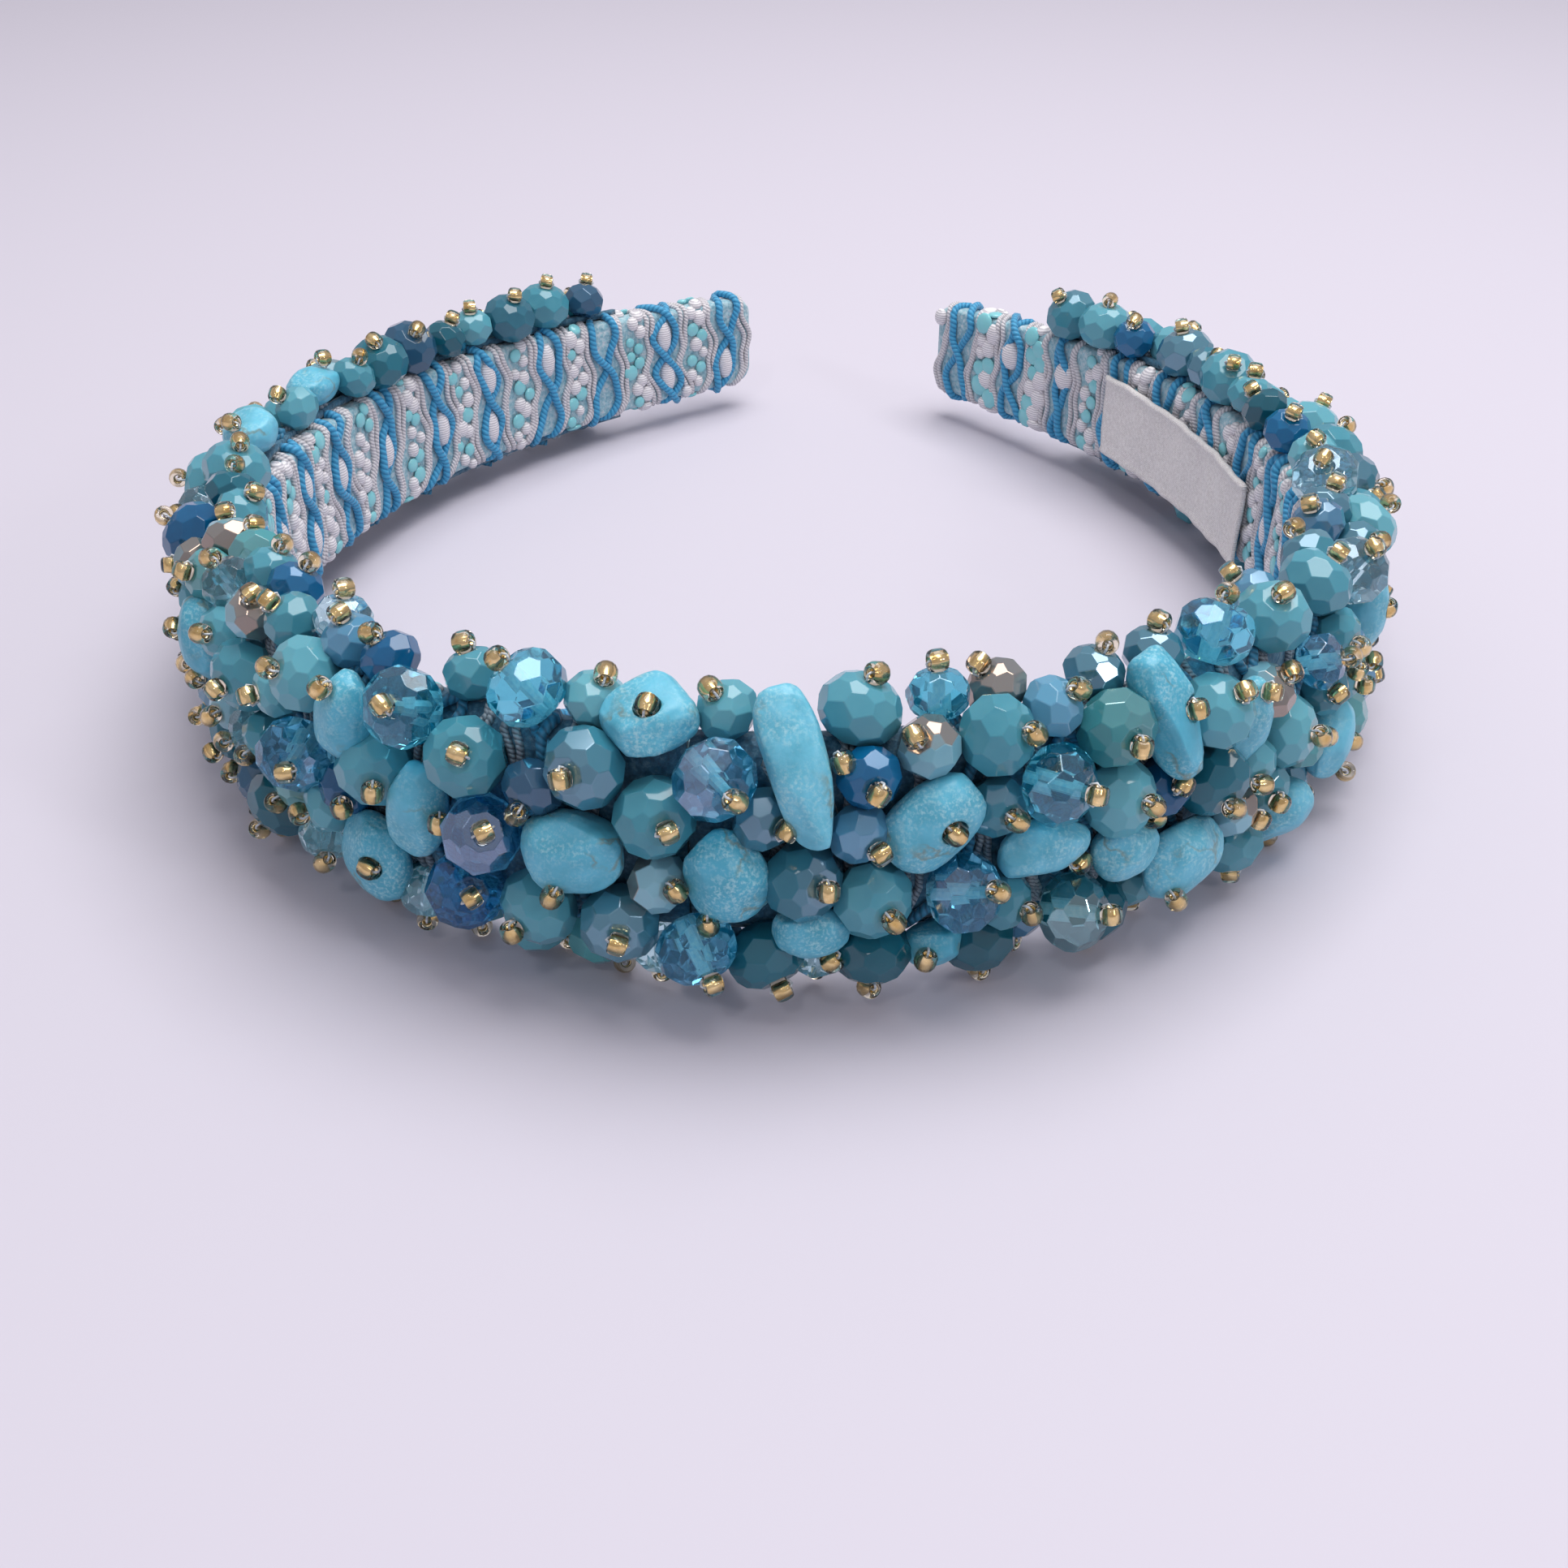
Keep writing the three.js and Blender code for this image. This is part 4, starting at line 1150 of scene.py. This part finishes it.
class SeedWork:
    """Seed beads, their gilt linings and the thread that holds them, for one side."""

    def __init__(self):
        self.glass = Pile()
        self.lining = Pile()
        self.thread = Pile()

    def add(self, base, axis, number):
        """A seed bead on a stone whose hole opens at `base` and points along `axis`."""
        side = axis.orthogonal().normalized()
        side = Matrix.Rotation(any_turn(number, 14), 3, axis) @ side
        turn = axes_matrix(side, axis.cross(side), axis)
        matrix = Matrix.Translation(base + axis * SEED_LIFT) @ turn
        self.glass.add(moved(SEED_SHAPE[0], matrix), SEED_SHAPE[1], smooth=True)
        self.lining.add(moved(LINING_SHAPE[0], matrix), LINING_SHAPE[1], smooth=True)
        points = [matrix @ Vector((x, 0, z)) for x, z in THREAD_LOOP]
        tube(self.thread, points, THREAD_RADIUS, THREAD_SIDES)

    def build(self, name):
        glass = self.glass.build(f"seed_beads_{name}", [SEED_GLASS])
        lining = self.lining.build(f"seed_linings_{name}", [GILT])
        thread = self.thread.build(f"thread_{name}", [THREAD])


seed_work = {"left": SeedWork(), "right": SeedWork()}


def side_name(stone):
    return "left" if stone["along"] < 0 else "right"


def add_seed(bead, matrix, number):
    """A seed bead where the hole of a cut stone opens."""
    axis = matrix.to_3x3().col[2]
    base = matrix.translation + axis * (BEAD_SIZES[bead["size"]][1] - HOLE_LIP)
    seed_work[side_name(bead)].add(base, axis, number)


def make_bead_fields():
    """The cut beads of each side, each side in one piece."""
    finishes = list(FINISHES)
    piles = {"left": Pile(), "right": Pile()}
    beads = CHARTED_BEADS + filling_beads()
    beads += gap_beads(beads + NUGGETS + CRYSTALS)
    for number, bead in enumerate(beads):
        size = bead["size"]
        matrix = bead_matrix(bead, BEAD_LEVEL if size == "large" else SMALL_LEVEL, number)
        vertices, faces = SHAPES[size]
        piles[side_name(bead)].add(
            moved(vertices, matrix), faces, slot=finishes.index(bead["finish"]),
            tone=chance(number, 15), coat=coat_values(SHAPE_NORMALS[size], matrix, number),
            glow=glow_values(SHAPE_NORMALS[size], matrix),
        )
        add_seed(bead, matrix, number)
    for side, pile in piles.items():
        piece = pile.build(f"cut_beads_{side}", list(FINISHES.values()))
        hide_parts(f"bead_field_{side}")


def in_bore(vertices, face):
    return all(math.hypot(*vertices[corner][:2]) < BEAD_BORE * 1.1 for corner in face)


def make_crystals():
    for number, crystal in enumerate(CRYSTALS, start=1):
        level = SEAT + FIT_GAP + bead_drop(crystal)
        matrix = bead_matrix(crystal, level, CRYSTAL_INDEX + number)
        vertices, faces = SHAPES[crystal["size"]]
        pile = Pile()
        normals = SHAPE_NORMALS[crystal["size"]]
        bored = [int(in_bore(vertices, face)) for face in faces]
        pile.add(
            moved(vertices, matrix), faces, slot=bored, glow=glow_values(normals, matrix),
            coat=coat_values(normals, matrix, CRYSTAL_INDEX + number),
        )
        piece = pile.build(f"cut_crystal_{number:02d}", [FINISHES[crystal["finish"]], BORE_GLASS])
        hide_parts(f"crystal_{number:02d}")
        add_seed(crystal, matrix, CRYSTAL_INDEX + number)


def nugget_matrix(nugget):
    level = SEAT + FIT_GAP + nugget["thick"] / 2
    position, forward, upward, normal = seat_frame(nugget["along"], nugget["across"], level)
    turn = math.radians(nugget["turn"])
    tall = upward * math.cos(turn) + forward * math.sin(turn)
    side = tall.cross(normal)
    return Matrix.Translation(position) @ axes_matrix(side, tall, normal)


def nugget_height(nugget, x, y):
    """Height of a stone's upper face over its middle plane, at a place in its own frame."""
    power = nugget["square"]
    share = abs(x / (nugget["wide"] / 2)) ** power + abs(y / (nugget["long"] / 2)) ** power
    return nugget["thick"] / 2 * max(0, 1 - min(share, 1)) ** 0.5


def nugget_shape(nugget, number):
    """A tumbled stone: a ball squared towards a pillow, with worn flats and soft lumps."""
    bm = bmesh.new()
    bmesh.ops.create_icosphere(bm, subdivisions=5, radius=1)
    power = 2 / nugget["square"]
    seed = Vector((number * 7.3, number * 3.1, number * 5.7))
    flats = []
    for at in range(WORN_FACES):
        draws = [chance(number, salt + at) for salt in (20, 30, 40)]
        way = Vector((draws[0] - 0.5, draws[1] - 0.5, draws[2] - 0.3))
        flats.append((way.normalized(), 0.8 + 0.12 * chance(number, 50 + at)))
    for vertex in bm.verts:
        way = vertex.co.normalized()
        point = Vector([math.copysign(abs(value) ** power, value) for value in way[:2]] + [way.z])
        for flat_way, reach in flats:
            past = point.dot(flat_way) - reach
            if past > 0:
                point -= flat_way * (past * WORN_DEPTH)
        swell = 1
        for share, waves in LUMPS:
            swell += share * noise.noise(way * waves + seed)
        point *= swell
        narrow = 1 - nugget["taper"] * 0.5 * point.y
        vertex.co = (
            point.x * narrow * nugget["wide"] / 2,
            point.y * nugget["long"] / 2,
            point.z * nugget["thick"] / 2,
        )
    return read_mesh(bm)


def drill_stone(piece, matrix, x, y):
    """Cuts a round hole through a stone along its own Z."""
    bpy.ops.mesh.primitive_cylinder_add(vertices=BORE_SIDES, radius=STONE_BORE, depth=0.02)
    cutter = bpy.context.object
    cutter.matrix_world = unscaled(matrix, x, y)
    change = piece.modifiers.new("hole", "BOOLEAN")
    change.object = cutter
    change.operation = "DIFFERENCE"
    change.solver = "EXACT"
    bpy.context.view_layer.update()
    graph = bpy.context.evaluated_depsgraph_get()
    cut = bpy.data.meshes.new_from_object(piece.evaluated_get(graph))
    piece.modifiers.clear()
    piece.data = cut
    bpy.data.objects.remove(cutter)


def unscaled(matrix, x, y):
    """Row-frame matrix, without scale, of a place in a stone's own frame."""
    turn = PLACE.to_3x3() @ matrix.to_3x3()
    turn = Matrix([row.normalized() for row in turn.transposed()]).transposed()
    return Matrix.Translation(PLACE @ (matrix @ Vector((x, y, 0)))) @ turn.to_4x4()


def make_nuggets():
    for number, nugget in enumerate(NUGGETS, start=1):
        matrix = nugget_matrix(nugget)
        vertices, faces = nugget_shape(nugget, number)
        pile = Pile()
        pile.add(moved(vertices, matrix), faces, smooth=True, tone=chance(number, 17))
        piece = pile.build(f"tumbled_stone_{number:02d}", [STONE])
        turn = math.radians(nugget["turn"])
        along, across = nugget["seed_along"], nugget["seed_across"]
        y = across * math.cos(turn) + along * math.sin(turn)
        x = along * math.cos(turn) - across * math.sin(turn)
        if nugget["drilled"]:
            drill_stone(piece, matrix, x, y)
        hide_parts(f"nugget_{number:02d}")
        normal = matrix.to_3x3().col[2]
        height = nugget_height(nugget, x, y)
        base = matrix @ Vector((x, y, height - (SEED_IN_HOLE if nugget["drilled"] else SEED_ON_FACE)))
        if not nugget["drilled"]:
            outward = (matrix.to_3x3() @ Vector((x, y, 0))).normalized()
            normal = (normal + outward * (0.9 if height < 1.0 else 0.3)).normalized()
        axis = settled(base, normal, SEED_SEAT)
        seed_work[side_name(nugget)].add(base, axis, NUGGET_INDEX + number)


# Band, cloth and label

def swept(pile, places, section_of):
    """A closed section swept through stations."""
    rings = [place_ring(along, section_of(along)) for along in places]
    count = len(rings[0])
    vertices = [tuple(point) for ring in rings for point in ring]
    faces = [face[::-1] for face in grid_faces(len(rings), count, close_columns=True)]
    faces.append(tuple(range(count)))
    faces.append(tuple((len(rings) - 1) * count + at for at in range(count))[::-1])
    pile.add(vertices, faces, smooth=True)


def spread(start, stop, pitch):
    steps = max(1, round((stop - start) / pitch))
    return [start + (stop - start) * at / steps for at in range(steps + 1)]


def rounded_tip(along):
    """How far the band's outline draws in near its ends."""
    left = HALF_LENGTH - abs(along)
    if left >= TIP_REACH:
        return 0
    return TIP_REACH - math.sqrt(max(0, TIP_REACH**2 - (TIP_REACH - left) ** 2))


def wrap_spans(half):
    """Lengths on half the way round the band: of its flat face, its corner and its edge."""
    return half - WRAP_CORNER, WRAP_CORNER * math.pi / 2, BAND_THICK - 2 * WRAP_CORNER


def wrap_frame(along, girth, lift):
    """Place and directions round the band. girth is 0 at the inner face's middle, positive up."""
    half = band_half(along) - rounded_tip(along)
    flat, arc, top = wrap_spans(half)
    side = math.copysign(1, girth)
    far = abs(girth)
    if far <= flat:
        depth, height, facing = 0.0, far, -math.pi
    elif far <= flat + arc:
        angle = (far - flat) / WRAP_CORNER
        depth = WRAP_CORNER * (1 - math.cos(angle))
        height = flat + WRAP_CORNER * math.sin(angle)
        facing = -math.pi + angle
    elif far <= flat + arc + top:
        depth, height, facing = WRAP_CORNER + far - flat - arc, half, -math.pi / 2
    elif far <= flat + 2 * arc + top:
        angle = (far - flat - arc - top) / WRAP_CORNER
        depth = BAND_THICK - WRAP_CORNER * (1 - math.sin(angle))
        height = flat + WRAP_CORNER * math.cos(angle)
        facing = -math.pi / 2 + angle
    else:
        depth, height, facing = BAND_THICK, 2 * flat + 2 * arc + top - far, 0.0
    point, forward, outward = hoop_frame(along)
    rise = -math.sin(facing)
    normal = outward * math.cos(facing) + Vector((0, 0, side * rise))
    position = point + outward * depth + Vector((0, 0, side * height)) + normal * lift
    return position, forward, normal.cross(forward), normal


def wrap_reach(along):
    """Half the way round the band that its braid covers, up to the beaded cloth."""
    flat, arc, top = wrap_spans(band_half(along))
    if abs(along) < CLOTH_REACH:
        return flat + arc + top * 0.6
    return 2 * flat + 2 * arc + top


def ball(pile, matrix, sizes, slot, sides=10, rows=6):
    """An egg shape of three half sizes."""
    vertices = [(0, 0, 1)]
    for row in range(1, rows):
        tilt = math.pi * row / rows
        width, height = math.sin(tilt), math.cos(tilt)
        vertices += [(width * math.cos(turn), width * math.sin(turn), height) for turn in circle(sides)]
    vertices.append((0, 0, -1))
    quads = grid_faces(rows - 1, sides, close_columns=True)
    faces = [tuple(corner + 1 for corner in quad)[::-1] for quad in quads]
    last = len(vertices) - 1
    for side in range(sides):
        after = (side + 1) % sides
        faces.append((0, side + 1, after + 1))
        faces.append((last, last - sides + after, last - sides + side))
    pile.add(moved(np.array(vertices) * np.array(sizes), matrix), faces, slot=slot, smooth=True)


def braid_matrix(along, girth, lift):
    position, forward, upward, normal = wrap_frame(along, girth, lift)
    return Matrix.Translation(position) @ axes_matrix(forward, upward, normal)


def near_end(along):
    return limited(along, -HALF_LENGTH + END_CLEAR, HALF_LENGTH - END_CLEAR)


def cross_cord(pile, centre, path_of, radius, slot):
    """A cord laid across the band and over both its edges. path_of gives its offset and lift."""
    reach = wrap_reach(centre)
    points = []
    for girth in spread(-reach, reach, 0.75):
        offset, lift = path_of(girth)
        points.append(wrap_frame(near_end(centre + offset), girth, lift)[0])
    tube(pile, points, radius, CORD_SIDES, slot=slot)


def field_cord(pile, centre, path_of, radius, slot):
    """A cord laid round the outside of the beaded cloth, where it shows between the stones."""
    reach = half_girth(centre) * 0.96
    points = []
    for across in spread(-reach, reach, 1.5):
        offset, lift = path_of(across)
        points.append(seat_frame(centre + offset, across or 0.01, SEAT + lift)[0])
    tube(pile, points, radius, FIELD_CORD_SIDES, slot=slot)


def braid_unit(unit):
    """Middle of one repeat of the braid, its wave, its sway and the paths of its six cords."""
    pitch = 2 * HALF_LENGTH / BRAID_COUNT
    centre = -HALF_LENGTH + (unit + 0.5) * pitch + either_way(unit, 60, 0.8)
    phase = any_turn(unit, 61)
    slant = either_way(unit, 62, 0.22)
    swing = any_turn(unit, 63)
    wave = CHAIN_WAVE * (0.75 + 0.6 * chance(unit, 66))
    widths = {side: CHAIN_WIDTH * (0.55 + 0.65 * chance(unit, 68 + side)) for side in (-1, 1)}

    def sway(girth):
        slow = 0.55 * math.sin(girth * 0.4 + swing)
        return slant * girth + slow + 0.25 * math.sin(girth * 1.1 + 2 * swing)

    def crossing(side):
        def path(girth):
            turn = math.pi * girth / wave + phase
            return sway(girth) + side * widths[side] * math.sin(turn), 0.4 + side * 0.28 * math.cos(turn)
        return path

    def straight(shift):
        def path(girth):
            bend = 0.45 * math.sin(math.pi * girth / wave + phase + shift)
            return sway(girth) + shift + bend + 0.15 * math.sin(girth * 0.9 + shift), 0.2
        return path

    cords = [(crossing(side), BLUE_RADIUS, 1) for side in (-1, 1)]
    cords += [(straight(shift), GREY_RADIUS, 2) for shift in GREY_SHIFTS]
    return centre, (phase, wave), sway, cords


def make_braid(pile):
    """Cords across the band: crossing blue pairs round satin ovals, grey cords, bumps and sequins."""
    for unit in range(BRAID_COUNT):
        centre, (phase, wave), sway, cords = braid_unit(unit)
        for path, radius, slot in cords:
            cross_cord(pile, centre, path, radius, slot)
        bold = centre > BOLD_FROM
        oval = BOLD_OVAL if bold else OVAL
        for at in range(-10, 11):
            girth = (at + 0.5 - phase / math.pi) * wave
            if abs(girth) < band_half(centre) - 3.2:
                ball(pile, braid_matrix(centre + sway(girth), girth, 0.1), oval, slot=3)
        make_bumps(pile, unit, centre, sway, BOLD_BUMPS if bold else 1)


def make_bumps(pile, unit, centre, sway, bold):
    """Staggered rows of satin bumps and aqua sequins between one repeat and the next."""
    reach = wrap_reach(centre)
    for at in range(-24, 25):
        spot = unit * 60 + at + 24
        size = bold * (0.7 + 0.5 * chance(spot, 64))
        girth = at * BUMP_PITCH + either_way(spot, 65, 0.7)
        shift = (BUMP_SHIFT if at % 2 else -BUMP_SHIFT) + either_way(spot, 66, 0.5)
        along = centre + BRAID_PITCH / 2 + sway(girth) + shift
        if abs(girth) > reach - 0.8 or abs(along) > HALF_LENGTH - 1.5:
            continue
        if chance(spot, 67) < SEQUIN_SHARE:
            ball(pile, braid_matrix(along, girth, 0.35), (1.15 * size, 1.15 * size, 0.4), slot=4)
        else:
            ball(pile, braid_matrix(along, girth, 0.1), (1.1 * size, 1.25 * size, 0.8), slot=3)


def make_band():
    body = Pile()
    reach = HALF_LENGTH - 0.05
    places = spread(-reach, reach, 1.4)
    near_tips = [side * (HALF_LENGTH - left) for side in (-1, 1) for left in TIP_PLACES]
    places = sorted({round(p, 3) for p in places if abs(p) < HALF_LENGTH - 3.3} | set(near_tips))
    swept(body, places, lambda along: band_section(along, rounded_tip(along), 4))
    make_braid(body)
    body.values["tone"] = [0.6] * len(body.faces)
    piece = body.build("braided_band", [BAND_CLOTH, BLUE_CORD, GREY_CORD, WHITE_SATIN, AQUA_SEQUIN])
    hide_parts("band")


def cloth_section(along):
    flat = band_half(along) - BAND_CORNER
    outer = BAND_CORNER + SEAT
    inner = BAND_CORNER + FIT_GAP
    return (
        corner_points(BAND_CORNER, -flat, outer, -90, CLOTH_STEPS)
        + corner_points(BAND_CORNER, flat, outer, 0, CLOTH_STEPS)
        + corner_points(BAND_CORNER, flat, inner, 0, CLOTH_STEPS)[::-1]
        + corner_points(BAND_CORNER, -flat, inner, -90, CLOTH_STEPS)[::-1]
    )


def make_field_cloth():
    halves = {"left": (-CLOTH_REACH, -FIT_GAP / 2), "right": (FIT_GAP / 2, CLOTH_REACH)}
    for side, (start, stop) in halves.items():
        pile = Pile()
        swept(pile, spread(start, stop, 1.6), cloth_section)
        for unit in range(BRAID_COUNT):
            centre, _, _, cords = braid_unit(unit)
            if start + 4.5 < centre < stop - 4.5:
                for path, radius, slot in cords:
                    field_cord(pile, centre, path, radius, slot)
        piece = pile.build(f"field_cloth_{side}", [PAINTED_SHADE_CLOTH, SHADED_BLUE, SHADED_GREY])
        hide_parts(f"bead_field_{side}")


def grid_rim(rows, columns):
    """Corners round the edge of a grid of points, in order."""
    rim = [row * columns for row in range(rows)]
    rim += [(rows - 1) * columns + at for at in range(1, columns)]
    rim += [row * columns + columns - 1 for row in range(rows - 2, -1, -1)]
    return rim + list(range(columns - 2, 0, -1))


def make_label():
    """A strip of cloth over the braid, with thicker woven edges and a soft wave."""
    rows = spread(LABEL_FROM, LABEL_TO, 0.6)
    columns = spread(-LABEL_HALF_WIDTH, LABEL_HALF_WIDTH, 0.5)
    points = []
    places = []
    for layer in (0, 1):
        for along in rows:
            share = (along - LABEL_FROM) / (LABEL_TO - LABEL_FROM)
            middle = LABEL_START_Z + (LABEL_END_Z - LABEL_START_Z) * share
            point, _, outward = hoop_frame(along)
            for column in columns:
                edge = max(0, 1 - (LABEL_HALF_WIDTH - abs(column)) / SELVAGE)
                wave = 0.12 * math.sin(along * 0.55 + column * 0.25)
                wave += 0.10 * math.sin(along * 1.3 - column * 0.5)
                thick = LABEL_THICK + SELVAGE_RISE * math.sin(math.pi * edge)
                lift = LABEL_LIFT + wave + layer * thick
                points.append(tuple(point - outward * lift + Vector((0, 0, middle + column))))
                places.append((along, column))
    count = len(rows) * len(columns)
    lower = grid_faces(len(rows), len(columns))
    upper = [tuple(corner + count for corner in face[::-1]) for face in lower]
    rim = grid_rim(len(rows), len(columns))
    sides = [(corner, after, after + count, corner + count) for corner, after in with_next(rim)]
    faces = lower + upper + sides
    pile = Pile()
    corners = [places[corner] for face in faces for corner in face]
    pile.add(points, faces, smooth=True, corners=corners)
    piece = pile.build("cloth_label", [LABEL_CLOTH])
    bm = bmesh.new()
    bm.from_mesh(piece.data)
    bmesh.ops.recalc_face_normals(bm, faces=bm.faces[:])
    bm.to_mesh(piece.data)
    bm.free()
    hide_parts("label")


# Room and camera

def make_floor():
    material, tree = new_material("floor")
    shown(material, principled(tree, base_color=paint(FLOOR_COLOUR), roughness=0.7))
    bpy.ops.mesh.primitive_plane_add(size=6)
    floor = bpy.context.object
    floor.name = "floor"
    floor.data.materials.append(material)


def make_light(name, place, size, power, colour):
    data = bpy.data.lights.new(name, "AREA")
    data.shape = "SQUARE"
    data.size = size
    data.energy = power
    data.color = colour
    lamp = bpy.data.objects.new(name, data)
    lamp.location = place
    lamp.rotation_euler = (-Vector(place)).to_track_quat("-Z", "Y").to_euler()
    bpy.context.scene.collection.objects.link(lamp)


def make_room():
    world = bpy.data.worlds.new("studio")
    bpy.context.scene.world = world
    world.use_nodes = True
    tree = world.node_tree
    tree.nodes.clear()
    way = node(tree, "ShaderNodeTexCoord").outputs["Generated"]
    height = node(tree, "ShaderNodeSeparateXYZ", {0: way}).outputs[2]
    light = node(tree, "ShaderNodeBackground", {0: ramp(tree, height, SKY_COLOURS), 1: SKY_STRENGTH})
    node(tree, "ShaderNodeOutputWorld", {"Surface": light.outputs[0]})
    for name, settings in LIGHTS.items():
        make_light(name, *settings)
    bpy.context.scene.view_settings.view_transform = "Standard"


def make_camera():
    data = bpy.data.cameras.new("camera")
    data.lens = CAMERA_LENS
    data.sensor_width = 36
    data.clip_start = 0.01
    camera = bpy.data.objects.new("camera", data)
    bpy.context.scene.collection.objects.link(camera)
    away = (CAMERA_FROM - CAMERA_AT).normalized()
    side = Vector((0, 0, 1)).cross(away).normalized()
    turn = axes_matrix(side, away.cross(side), away)
    placed = PLACE @ Matrix.Translation(CAMERA_FROM) @ turn
    spot, rotation, _ = placed.decompose()
    camera.matrix_world = Matrix.Translation(spot) @ rotation.to_matrix().to_4x4()
    bpy.context.scene.camera = camera


make_camera()
make_room()
make_floor()
make_band()
make_field_cloth()
make_label()
make_bead_fields()
make_crystals()
make_nuggets()
for side, work in seed_work.items():
    work.build(side)
